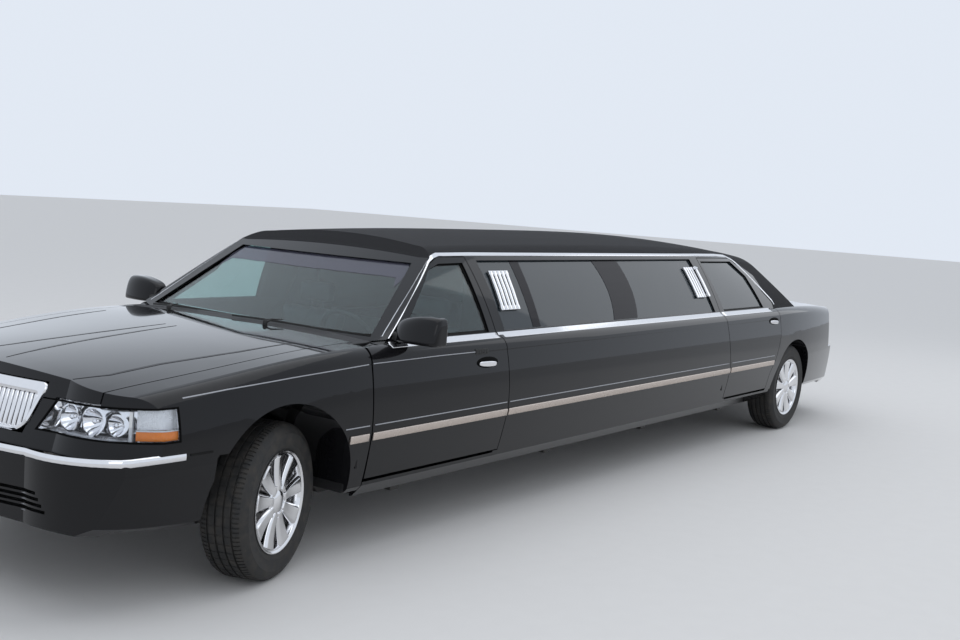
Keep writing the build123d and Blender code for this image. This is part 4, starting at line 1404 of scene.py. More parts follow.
@dataclass
class Nose:
    """Grille, bumper strip, air slots, and dark lines painted along the hood as the shade of its creases."""

    tip_x: float = FRONT_AXLE_X + 0.946
    bow: float = 0.062 / 0.56**2
    rake: float = 150 / 540
    face_z: float = 0.632
    foot_z: float = 0.684
    top_z: float = 0.890
    foot_half: float = 0.398
    top_half: float = 0.468
    pitch: float = 0.027
    slot_z: float = 0.432
    slot_pitch: float = 0.022
    slots: int = 4
    bar_half: float = 0.0098
    bar_depth: float = 0.026
    recess: float = 0.006
    strip_z: float = 0.612
    strip_end: float = 0.545
    groove_z: float = 0.651
    # Half the width of the dark lines painted as the hood creases' shade.
    crease_half: float = 0.008
    flank_push: float = 0.0068

    def face_x(self, y: float, z: float) -> float:
        """X of the raked, bowed face that carries the grille."""
        return self.tip_x - self.bow * y * y - (z - self.face_z) * self.rake

    def lean(self, blank: Blank, base: float) -> Blank:
        """Bends a piece drawn flat at x 0 onto the face.

        Args:
            blank: the piece.
            base: how far ahead of the face its x 0 stands.

        Returns:
            The piece.
        """
        return blank.bend_points(lambda p: Vector((p.x + base + self.face_x(p.y, p.z), p.y, p.z)))

    def half_at(self, z: float) -> float:
        """Half the opening's width at a height."""
        share = (z - self.foot_z) / (self.top_z - self.foot_z)
        return self.foot_half + (self.top_half - self.foot_half) * share

    def loop(self, side: float, top: float, foot: float, top_radius: float, foot_radius: float) -> list[Vector]:
        """A rounded trapezoid inside the surround's outer edge.

        Args:
            side: how far inside at the sides.
            top: how far inside at the top.
            foot: how far inside at the foot.
            top_radius: radius of the upper corners.
            foot_radius: radius of the lower corners.

        Returns:
            Points of (y, z), the same number whatever the sizes.
        """
        low, high = self.foot_z + foot, self.top_z - top
        corners = [
            (Vector((self.half_at(high) - side, high)), top_radius),
            (Vector((self.half_at(low) - side, low)), foot_radius),
            (Vector((-self.half_at(low) + side, low)), foot_radius),
            (Vector((-self.half_at(high) + side, high)), top_radius),
        ]
        points = []
        for k, (corner, radius) in enumerate(corners):
            before, after = corners[k - 1][0], corners[(k + 1) % 4][0]
            start = corner + (before - corner).normalized() * radius
            end = corner + (after - corner).normalized() * radius
            for step in range(7):
                t = step / 6
                points.append(start * (1 - t) ** 2 + corner * 2 * t * (1 - t) + end * t**2)
            far_radius = corners[(k + 1) % 4][1]
            far = after + (corner - after).normalized() * far_radius
            points += [end + (far - end) * step / 9 for step in range(1, 9)]
        return points

    def surround(self) -> None:
        """The wide plated surround, deepest along its top."""
        outer = self.loop(0.000, 0.000, 0.000, 0.046, 0.080)
        inner = self.loop(0.028, 0.050, 0.021, 0.016, 0.054)
        layers = [
            (outer, -0.020),
            (outer, 0.002),
            (self.loop(0.004, 0.005, 0.004, 0.042, 0.076), 0.009),
            (self.loop(0.015, 0.026, 0.012, 0.032, 0.066), 0.012),
            (self.loop(0.024, 0.045, 0.018, 0.020, 0.058), 0.007),
            (inner, -0.004),
            (inner, -0.024),
            (outer, -0.020),
        ]
        rows = [[(depth, points[k].x, points[k].y) for points, depth in layers] for k in range(len(outer))]
        made = self.lean(Blank.band("grille_surround", rows + rows[:1]), -self.recess)
        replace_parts(made.shade(40).dress("body", Finishes.chrome), "grille")

    def bars(self) -> None:
        """Rounded upright bars, and a dark sheet behind them painted as the shade there."""
        made = []
        last = int(self.top_half / self.pitch)
        top = self.top_z - 0.046
        for k in range(-last, last + 1):
            y = k * self.pitch
            foot = self.foot_z + 0.014
            beyond = abs(y) - self.foot_half + 0.045
            if beyond > 0:
                foot += beyond**2 * 14
            if abs(y) > self.half_at(top) - 0.034:
                continue
            bar = Blank.block("bar", (-self.bar_depth, y - self.bar_half, foot), (0.0, y + self.bar_half, top))
            made.append(bar.cut(2, (foot + top) / 2).soften(0.0082, 3, 60))
        bars = self.lean(made[0].join("grille_bars", made[1:]), -self.recess)
        bars.shade(50).dress("body", Finishes.chrome)
        rows = []
        for z in (self.foot_z + 0.010, 0.74, 0.80, self.top_z - 0.03):
            half = self.half_at(z) - (0.045 if z < 0.7 else 0.018)
            rows.append([(0, half * share / 4, z) for share in range(-4, 5)])
        back = Blank.band("grille_shade", rows).thicken(0.003)
        self.lean(back, -0.036).dress("body", Finishes.trim)

    def bumper_strip(self) -> None:
        """The bright strip on the bumper's shoulder, and the dark strips painted behind its ends as the shade in the
        grooves there.
        """
        reach = outline("front_bumper front_fenders", (ahead(0.42), 0), self.strip_z, (-86, 86), 87, self.recess)
        ahead_of_arch = [p for p in reach if p.x > ahead(self.strip_end)]
        bright = [Vector((p.x, p.y * (1 + self.flank_push * p.y**4), p.z)) for p in ahead_of_arch]
        levels = [(0.6310, -0.007), (0.6350, -0.002), (0.6455, -0.0005), (0.6560, -0.002), (0.6600, -0.007)]
        made = wall_band("bumper_strip", bright, levels, 0.008)
        made.shade(50).dress("body", Finishes.chrome)
        # Painted shade: a dark strip on the fender standing for the shade in the groove behind the strip's end.
        z = self.groove_z
        run = [(ahead(x), flank_y("front_fenders", ahead(x), z) + 0.0012, z) for x in (0.535, 0.50, 0.46, 0.425)]
        plan = [Vector(p) for p in reversed(run)]
        groove = wall_band("bumper_groove_left", plan, [(z - 0.004, 0), (z, 0), (z + 0.004, 0)], 0.003)
        groove.shade(50).dress_pair("body", Finishes.seal)

    def air_slots(self) -> None:
        """Thin bright edges of the lower air slots, and a dark sheet behind them painted as the shade in the slots."""
        centre = (ahead(0.3), 0)
        lines = []
        for k in range(self.slots):
            z = self.slot_z - 0.006 + self.slot_pitch * k
            half = 0.700 - 0.018 * k
            points = [p for p in outline("front_bumper", centre, z, (-60, 60), 61, 0.004) if abs(p.y) < half]
            lines.append(wall_band("slot_line", points, [(z - 0.0018, -0.002), (z, 0.0), (z + 0.0018, -0.002)], 0.004))
        lines[0].join("slot_lines", lines[1:]).shade(50).dress("body", Finishes.slot_edge)
        points = [p for p in outline("front_bumper", centre, 0.42, (-60, 60), 41, 0.045) if abs(p.y) < 0.69]
        back = wall_band("slot_shade", points, [(0.424, 0), (0.47, 0), (0.520, 0)], 0.003)
        back.dress("body", Finishes.trim)

    def creases(self) -> None:
        """Dark lines painted along the hood as the shade of the pressed creases that run back along it."""
        lines = {
            "outer": ((0.790, 0.560), (0.653, 0.609), (0.409, 0.614), (0.019, 0.670), (-0.287, 0.689)),
            "inner": ((0.800, 0.120), (0.625, 0.093), (0.378, 0.068), (0.071, 0.049), (-0.150, 0.040)),
        }
        for name, places in lines.items():
            path = stations([(ahead(x), y) for x, y in places], 0.05)
            rows = []
            for i, (x, y) in enumerate(path):
                half = self.crease_half * min(1.0, 0.25 + 0.15 * min(i, len(path) - 1 - i))
                rows.append([(x, y - half), (x, y), (x, y + half)])
            line = Blank.band(f"hood_crease_{name}_left", draped(rows, "hood", 0.0012)).thicken(0.002)
            line.dress_pair("hood", Finishes.band, "black_paint")

    def build(self) -> None:
        """Builds the nose."""
        self.surround()
        self.bars()
        self.bumper_strip()
        self.air_slots()
        self.creases()


@dataclass
class Ornaments:
    """Two sets of five bright bars on each side of the stretched cabin, and the dark glass bands."""

    top_z: float = 1.3365
    foot_z: float = 1.1295
    bars: int = 5
    pitch: float = 0.0372
    proud: float = 0.022
    glass_top: float = 1.385
    glass_foot: float = 1.026

    def bar(self, top: float, slant: float) -> Blank:
        """One bar with a wider foot and head.

        Args:
            top: x of its upper end.
            slant: how far back its lower end stands.

        Returns:
            The bar.
        """
        rows = []
        # Share of the height from the top, and width as a share of the pitch.
        for share, width in (
            (0.0, 0.86), (0.10, 0.90), (0.115, 0.66), (0.5, 0.70), (0.885, 0.66), (0.90, 0.90), (1.0, 0.86)
        ):
            z = self.top_z - (self.top_z - self.foot_z) * share
            centre = top - slant * share
            half = self.pitch * width / 2
            rows.append([(centre + half, 0, z), (centre, 0, z), (centre - half, 0, z)])
        made = Blank.band("bar", laid(rows, "stretch_glass stretch_panels", self.proud))
        return made.thicken(0.014).soften(0.005, 3, 40)

    def louvres(self) -> None:
        """Both sets of bars."""
        sets = ((ahead(-1.700), 0.0), (ahead(-4.070), 0.055))
        bars = [self.bar(x - self.pitch * (k + 0.5), slant) for x, slant in sets for k in range(self.bars)]
        whole = bars[0].join("louvre_bars_left", bars[1:]).shade(50)
        left, _ = whole.dress_pair("body", Finishes.chrome)
        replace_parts(left, "pillar_ornaments")

    def glass_bands(self) -> None:
        """The dark bands, with a curved front and rear edge."""
        # X from the front axle at the top, the middle and the foot of the front edge, then of the rear edge.
        bands = {
            "front": ((-1.961, -1.978, -1.989), (-2.048, -2.059, -2.066)),
            "middle": ((-2.868, -2.935, -2.908), (-3.185, -3.241, -3.212)),
        }
        for name, (front, rear) in bands.items():
            rows = []
            for step in range(9):
                share = step / 8
                z = self.glass_top + (self.glass_foot - self.glass_top) * share
                weights = ((1 - share) * (1 - 2 * share), 4 * share * (1 - share), share * (2 * share - 1))
                a, b = (ahead(sum(w * x for w, x in zip(weights, edge))) for edge in (front, rear))
                rows.append([(a, 0, z), ((a + b) / 2, 0, z), (b, 0, z)])
            band = Blank.band(f"glass_band_{name}_left", laid(rows, "stretch_glass", 0.002)).thicken(0.002)
            band.dress_pair("body", Finishes.band)

    def build(self) -> None:
        """Builds both sets and the bands."""
        self.louvres()
        self.glass_bands()


@dataclass
class Handles:
    """Door handles, each on a dark matte oval painted as the shade in its recess, and the key pad above the front one.
    """

    length: float = 0.150
    height: float = 0.030
    cup: Point = (0.104, 0.0090, 0.036)
    pad_x: float = -1.395
    pad_z: float = 0.935
    pad_half: Pair = (0.058, 0.016)
    keys: int = 5
    key_pitch: float = 0.022
    key_half: Pair = (0.0088, 0.009)

    def handle(self, name: str, x: float, z: float, node: str, body: str) -> None:
        """One handle, and a dark oval painted as the shade in its recess, on each side.

        Args:
            name: which door.
            x: its middle from the front axle.
            z: its height.
            node: the door's CAD node.
            body: the door's body, with a star for the side.
        """
        x = ahead(x)
        y = flank_y(node, x, z)
        # Painted shade: a dark matte oval standing for the shade in the handle's recess.
        cup = Blank.ball(f"handle_cup_{name}_left", (x, y - 0.004, z), self.cup)
        cup.shade(60).dress_pair(body, Finishes.gasket)
        half, up = self.length / 2, self.height / 2
        grip = Blank.block(f"handle_{name}_left", (x - half, y + 0.004, z - up), (x + half, y + 0.018, z + up))
        grip.cut(0, *(x + self.length * share for share in (-0.42, -0.3, 0.0, 0.3, 0.42)))

        def shape(p: Vector) -> Vector:
            """Bows the grip outwards, narrows its ends and tilts it a little.

            Args:
                p: a vertex's place.

            Returns:
                Its new place.
            """
            share = (p.x - x) / half
            return Vector((p.x, p.y - 0.009 * abs(share) ** 3, z + (p.z - z) * (1 - 0.45 * share**4) + 0.004 * share))

        grip.bend_points(shape).soften(0.005, 3, 30).subdivide(1).shade(60)
        grip.dress_pair(body, Finishes.chrome)

    def key_pad(self) -> None:
        """A blank pad with plain keys on the left front door."""
        x, z = ahead(self.pad_x), self.pad_z
        y = flank_y("front_door_left", x, z)
        half, up = self.pad_half
        pad = Blank.block("key_pad", (x - half, y - 0.006, z - up), (x + half, y + 0.003, z + up)).soften(0.0025, 3)
        half, up = self.key_half
        first = x - self.key_pitch * (self.keys - 1) / 2
        keys = []
        for k in range(self.keys):
            a = first + self.key_pitch * k
            key = Blank.block("key", (a - half, y + 0.001, z - up), (a + half, y + 0.0045, z + up))
            keys.append(key.soften(0.0012, 2))
        pad.join("key_pad", keys).shade(40).dress("front_door_left", Finishes.trim)

    def build(self) -> None:
        """Builds the handles and the pad."""
        self.handle("front", -1.437, 0.870, "front_door_left", "front_door_*")
        self.handle("rear", -5.300, 0.914, "rear_door_left", "rear_door_*")
        self.key_pad()


@dataclass
class Headlamps:
    """What shows through the clear lenses: bowls, bulbs, divider, turn lens and the gasket round them."""

    low_z: float = 0.706
    high_z: float = 0.840
    divider_y: float = 0.858
    rim_width: float = 0.008
    outer_y: float = 0.93
    centre: Pair = (FRONT_AXLE_X + 0.30, 0.42)
    bulb_radii: Point = (0.020, 0.0075, 0.0075)
    bulb_share: float = 0.62
    shield_ahead: float = 0.022

    def left_half(self, name: str, node: str) -> Blank:
        """The left part of a CAD node as a merged copy.

        Args:
            name: the copy's name.
            node: the CAD node.

        Returns:
            The copy.
        """
        made = Blank.of_node(name, node)
        work = made.mesh()
        bpy.ops.mesh.select_all(action="DESELECT")
        for vertex in work.verts:
            vertex.select = vertex.co.y < 0
        work.select_flush_mode()
        made.update()
        bpy.ops.mesh.delete(type="VERT")
        return made.leave()

    def is_front(self, face: bmesh.types.BMFace) -> bool:
        """Whether a face looks outwards, away from the lamp's middle.

        Args:
            face: the face.

        Returns:
            True for a face of the lamp's front.
        """
        middle = face.calc_center_median()
        away = Vector((middle.x - self.centre[0], middle.y - self.centre[1], 0)).normalized()
        return face.normal.dot(away) > 0.5 and abs(face.normal.z) < 0.7

    def tray(self) -> Blank:
        """The housing as an open tray.

        Returns:
            The tray.
        """
        made = self.left_half("lamp_tray_left", "headlamp_housings").pick_faces(self.is_front)
        bpy.ops.mesh.delete(type="FACE")
        return made.leave().thicken(0.002, 0.0)

    def gasket(self) -> Blank:
        """The black gasket over the lens's edge.

        Returns:
            The gasket.
        """
        made = self.left_half("lamp_gasket_left", "headlamp_lenses").pick_faces(lambda f: not self.is_front(f))
        bpy.ops.mesh.delete(type="FACE")
        return made.keep_border(self.rim_width, 1.0).thicken(0.0030, 1.0)

    def skin_x(self, y: float, z: float) -> float:
        """X of the housing's front where a bowl meets it."""
        z = min(max(z, self.low_z + 0.004), self.high_z - 0.012)
        return front_x("headlamp_housings", min(y, self.outer_y), z)

    def bowl(self, y: float, z: float, radius: float, depth: float) -> list[Blank]:
        """One reflector bowl with its bulb and bulb shield, cut to the lens's sweep.

        Args:
            y: its middle across the car.
            z: its middle's height.
            radius: its rim's radius.
            depth: its depth.

        Returns:
            The bowl, the bulb and its shield.
        """
        profile = [(0.010, -depth)]
        profile += [(radius * (k / 8) ** 0.5, -depth * (1 - k / 8)) for k in range(1, 9)]
        profile += [(radius + 0.004, 0.0), (radius + 0.004, -0.006)]
        rim_x = self.skin_x(y, z) - 0.004
        bulb_x = rim_x - depth * self.bulb_share
        turn = Matrix.Rotation(-pi / 2, 4, "Z")

        def trim(p: Vector) -> Vector:
            """Keeps the bowl behind the lens and between the lamp's edges.

            Args:
                p: a vertex's place.

            Returns:
                Its new place.
            """
            height = min(max(p.z, self.low_z + 0.004), self.high_z - 0.006)
            return Vector((min(p.x, self.skin_x(p.y, height) - 0.003), p.y, height))

        made = Blank.spun("bowl", profile, 40).place(Matrix.Translation((rim_x, y, z)) @ turn)
        made.bend_points(trim).thicken(0.0012, -1.0).shade(45)
        bulb = Blank.ball("bulb", (bulb_x, y, z), self.bulb_radii, 16)
        profile = [(0.0005, 0.006), (0.006, 0.005), (0.011, 0.0), (0.010, -0.003), (0.0005, 0.001)]
        shield = Blank.spun("shield", profile, 24)
        shield.place(Matrix.Translation((bulb_x + self.shield_ahead, y, z)) @ turn)
        return [made, bulb.shade(60), shield.shade(60)]

    def build(self) -> None:
        """Builds the left lamp and mirrors it."""
        bowls, bulbs, shields = zip(
            self.bowl(0.590, 0.772, 0.052, 0.056),
            self.bowl(0.712, 0.771, 0.054, 0.056),
            self.bowl(0.806, 0.766, 0.040, 0.040),
        )
        plan = outline("headlamp_housings", self.centre, 0.770, (4, 82), 70)
        inner = [p for p in plan if p.y < self.divider_y]
        turn = [p for p in plan if p.y > self.divider_y + 0.012]
        bar = [p for p in plan if abs(p.y - self.divider_y) < 0.011]
        rib = wall_band("rib", turn, [(0.7515, 0.004), (0.7545, 0.004)], 0.016)
        # Name, plan, levels as height and how far out, thickness.
        walls = {
            name: wall_band(f"{name}_left", points, levels, thickness)
            for name, points, levels, thickness in (
                ("turn_amber", turn, [(0.714, 0.004), (0.732, 0.006), (0.752, 0.002)], 0.004),
                ("turn_frost", turn, [(0.754, -0.014), (0.79, -0.016), (0.836, -0.024)], 0.004),
                ("lamp_divider", bar, [(0.708, 0.002), (0.77, 0.004), (0.826, -0.002)], 0.030),
                ("lamp_sill", inner, [(0.709, -0.002), (0.714, -0.010), (0.716, -0.026)], 0.002),
            )
        }
        tray, _ = self.tray().shade(45).dress_pair("body", Finishes.bowl)
        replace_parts(tray, "headlamp_housings")
        for blank, finish in (
            (bowls[0].join("lamp_bowls_left", bowls[1:] + shields), Finishes.bowl),
            (bulbs[0].join("lamp_bulbs_left", bulbs[1:]), Finishes.bulb),
            (walls["turn_amber"], Finishes.amber),
            (walls["turn_frost"], Finishes.frosting),
            (walls["lamp_divider"].join("lamp_divider_left", [rib]), Finishes.divider),
            (walls["lamp_sill"], Finishes.flutes),
            (self.gasket(), Finishes.gasket),
        ):
            blank.shade(45).dress_pair("body", finish)


@dataclass
class Glass:
    """Rubber seals and printed borders round the glass, and the windscreen's tinted top."""

    sun_half: float = 0.655
    sun_depth: float = 0.105
    sun_inset: float = 0.016
    above_screen: float = -1.23

    def rim(self, node: str, name: str, facing: Point, width: float, proud: float) -> Blank:
        """A band round the edge of one pane's outer face.

        Args:
            node: the pane's CAD node.
            name: the band's name.
            facing: the way the pane's outer face looks.
            width: the band's width.
            proud: how far it stands off the glass.

        Returns:
            The band.
        """
        way = Vector(facing).normalized()
        made = Blank.of_node(name, node).pick_faces(lambda f: f.normal.dot(way) <= 0.35)
        bpy.ops.mesh.delete(type="FACE")
        made.keep_border(width, 0.3).bend_points(lambda p: p + way * proud)
        return made.thicken(0.0016, -1.0).shade(40)

    def sun_band(self) -> None:
        """The darker tint along the windscreen's top."""
        rows = []
        for k in range(-15, 16):
            y = self.sun_half * k / 15
            x = ahead(self.above_screen)
            while met("windshield", (x, y, WELL_CLEAR), DOWNWARDS) is None:
                x += 0.004
            rows.append([(x + self.sun_inset + step * self.sun_depth / 4, y) for step in range(5)])
        made = Blank.band("sun_band", draped(rows, "windshield", 0.0008)).thicken(0.001)
        made.shade(40).dress("body", Finishes.sun)

    def build(self) -> None:
        """Builds the seals, the borders and the tint."""
        for side in Side:
            for door in ("front", "rear"):
                body = f"{door}_door_{side.word}"
                out = (0, side.value, 0.25)
                seal = self.rim(f"{door}_door_glass_{side.word}", f"{door}_door_seal_{side.word}", out, 0.011, 0.0012)
                seal.dress(body, Finishes.seal)
        for node, facing, width in (("windshield", (0.56, 0, 0.83), 0.012), ("rear_glass", (-0.6, 0, 0.8), 0.026)):
            border = self.rim(node, f"{node}_border", facing, width, 0.0010)
            border.dress("body", Finishes.seal)
        self.sun_band()


@dataclass
class Wipers:
    """The two wipers at rest on the windscreen's foot."""

    runs: int = 9
    blade_lift: float = 0.012
    blade_half: Pair = (0.0035, 0.0050)
    pivot_lift: float = 0.010

    def on_screen(self, x: float, y: float, lift: float) -> Vector:
        """A point above the cowl or the windscreen.

        Args:
            x: place from the front axle.
            y: place across the car.
            lift: how far above.

        Returns:
            The point.
        """
        nodes = "windshield cowl upper_frame dashboard"
        return met_surely(nodes, (ahead(x), y, WELL_CLEAR), DOWNWARDS) + Vector((0, 0, lift))

    def swept(self, name: str, points: Sequence[Vector], halves: Sequence[Pair]) -> Blank:
        """A bar of changing section through points.

        Args:
            name: the piece's name.
            points: its centre line.
            halves: half its width and half its height at each point.

        Returns:
            The bar.
        """
        ring = ((1, -1), (1, 0.6), (0.6, 1), (-0.6, 1), (-1, 0.6), (-1, -1), (1, -1))
        rows = []
        for i, (point, (width, height)) in enumerate(zip(points, halves)):
            run = (points[min(i + 1, len(points) - 1)] - points[max(i - 1, 0)]).normalized()
            side = run.cross(Vector((0, 0, 1))).normalized()
            up = side.cross(run)
            rows.append([tuple(point + side * a * width + up * b * height) for a, b in ring])
        made = Blank.band(name, rows)
        made.mesh()
        bpy.ops.mesh.select_all(action="SELECT")
        bpy.ops.mesh.region_to_loop()
        bpy.ops.mesh.edge_face_add()
        made.leave()
        return made.shade(40)

    def build(self) -> None:
        """Builds both wipers."""
        # Ends of the blade and place of the pivot, from the front axle and across the car.
        places = {
            "left": ((-0.640, 0.560), (-0.560, -0.020), (-0.520, 0.260)),
            "right": ((-0.600, -0.330), (-0.640, -0.740), (-0.530, -0.480)),
        }
        cap_profile = [
            (0.0005, 0.016), (0.006, 0.015), (0.011, 0.009), (0.012, 0.0), (0.012, -0.008), (0.0005, -0.008)
        ]
        for name, (start, end, pivot) in places.items():
            shares = [k / self.runs for k in range(self.runs + 1)]
            line = [self.on_screen(*Vector(start).lerp(Vector(end), share), self.blade_lift) for share in shares]
            blade = self.swept("blade", line, [self.blade_half] * len(line))
            middle = line[self.runs // 2]
            foot = self.on_screen(*pivot, self.pivot_lift)
            over = foot.lerp(middle, 0.35) + Vector((0, 0, 0.016))
            points = [foot, over, over.lerp(middle, 0.5) + Vector((0, 0, 0.006)), middle + Vector((0, 0, 0.014))]
            arm = self.swept("arm", points, [(0.009, 0.005), (0.007, 0.004), (0.005, 0.003), (0.003, 0.002)])
            cap = Blank.spun("cap", cap_profile, 28)
            cap.place(Matrix.Translation(foot) @ Matrix.Rotation(pi / 2, 4, "X")).shade(50)
            blade.join(f"wiper_{name}", [arm, cap]).dress("body", Finishes.trim)


@dataclass
class Mirrors:
    """The door mirrors: rounded heads on short necks, their glass and the sails they stand on."""

    low: Point = (FRONT_AXLE_X - 0.854, 0.888, 1.016)
    high: Point = (FRONT_AXLE_X - 0.735, 1.1484, 1.163)

    def head(self) -> Blank:
        """The rounded housing, full at its outer end and flat below.

        Returns:
            The left head.
        """
        size = [b - a for a, b in zip(self.low, self.high)]
        made = Blank.block("mirror_head_left", self.low, self.high)
        for axis, shares in enumerate(((0.16, 0.5), (0.30, 0.60, 0.88), (0.10, 0.55))):
            made.cut(axis, *(self.low[axis] + size[axis] * share for share in shares))

        def shape(p: Vector) -> Vector:
            """Lowers the head and draws its front in towards the neck and the corners.

            Args:
                p: a vertex's place.

            Returns:
                Its new place.
            """
            out = (p.y - self.low[1]) / size[1]
            up = (p.z - self.low[2]) / size[2]
            top = 1 - 0.30 * (1 - out) ** 2 - 0.10 * out**3
            front = 1 - 0.28 * up**2 - 0.18 * (2 * out - 1) ** 2
            return Vector((self.low[0] + (p.x - self.low[0]) * front, p.y, self.low[2] + (p.z - self.low[2]) * top))

        return made.subdivide(3).bend_points(shape).shade(60)

    def sail(self) -> Blank:
        """The dark three-cornered plate in the window's front corner.

        Returns:
            The left sail.
        """
        rows = []
        for step in range(9):
            x = -0.745 - 0.0175 * step
            rows.append([(ahead(x), 0, z) for z in (1.027, 1.031 + 0.0035 * step, 1.035 + 0.0105 * step)])
        plate = laid(rows, "front_door_left front_door_glass_left", 0.003)
        return Blank.band("mirror_sail_left", plate).thicken(0.004).shade(40)

    def build(self) -> None:
        """Builds the left mirror and its mirrored copy."""
        head = self.head()
        neck = Blank.block("mirror_neck_left", (ahead(-0.838), 0.868, 1.018), (ahead(-0.752), 0.950, 1.062))
        neck.soften(0.014, 4).shade(50)
        glass = Blank.ball("mirror_glass_left", (self.low[0] + 0.0085, 1.030, 1.082), (0.0075, 0.092, 0.047))
        body = "front_door_*"
        for piece, side in zip(head.dress_pair(body, Finishes.paint), Side):
            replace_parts(piece, f"mirror_{side.word}")
        neck.dress_pair(body, Finishes.trim)
        self.sail().dress_pair(body, Finishes.trim)
        glass.shade(60).dress_pair(body, Finishes.mirror)


@dataclass
class Rear:
    """Bright lines, the blank plate and the lamp ribs at the tail."""

    centre: Pair = (REAR_AXLE_X - 0.75, 0)
    deck_half: float = 0.535
    plate_half: float = 0.152
    plate_z: Pair = (0.700, 0.844)

    def build(self) -> None:
        """Builds the tail's pieces."""
        reach = outline("rear_bumper", self.centre, 0.606, (100, 260), 81)
        levels = [(0.6040, -0.0050), (0.6075, -0.0024), (0.6125, -0.0024), (0.6160, -0.0050)]
        line = wall_band("rear_bumper_line", reach, levels, 0.004)
        line.shade(50).dress("body", Finishes.chrome)
        deck = [p for p in outline("trunk_lid", self.centre, 0.868, (120, 240), 61) if abs(p.y) < self.deck_half]
        strip = wall_band("deck_strip", deck, [(0.852, 0), (0.858, 0.005), (0.880, 0.005), (0.886, 0)], 0.004)
        strip.shade(50).dress("trunk_lid", Finishes.chrome)
        self.plate()
        ribs = []
        for z in (0.725, 0.775, 0.825):
            points = outline("tail_lamps", self.centre, z, (100, 175), 61)
            ribs.append(wall_band("rib", points, [(z - 0.003, 0), (z, 0.002), (z + 0.003, 0)], 0.003))
        whole = ribs[0].join("tail_lamp_ribs_left", ribs[1:])
        whole.shade(50).dress_pair("body", Finishes.chrome)

    def plate(self) -> None:
        """The blank plate, bent onto the lid."""
        half, (foot, top) = self.plate_half, self.plate_z
        made = Blank.block("plate_rear", (-0.009, -half, foot), (-0.001, half, top))
        made.cut(1, -0.10, -0.05, 0.0, 0.05, 0.10).soften(0.003, 2)
        made.pick_faces(lambda f: f.normal.x < -0.9)
        bpy.ops.mesh.inset(thickness=0.006, depth=0.0)
        made.push(-0.0012)

        def onto_lid(p: Vector) -> Vector:
            """Moves a point back to the lid's face.

            Args:
                p: a vertex's place.

            Returns:
                Its new place.
            """
            lid = met_surely("trunk_lid", (-FAR_ALONG, p.y, 0.76), FORWARDS)
            return Vector((p.x + lid.x, p.y, p.z))

        made.bend_points(onto_lid).shade(40)
        made.dress("trunk_lid", Finishes.plate)


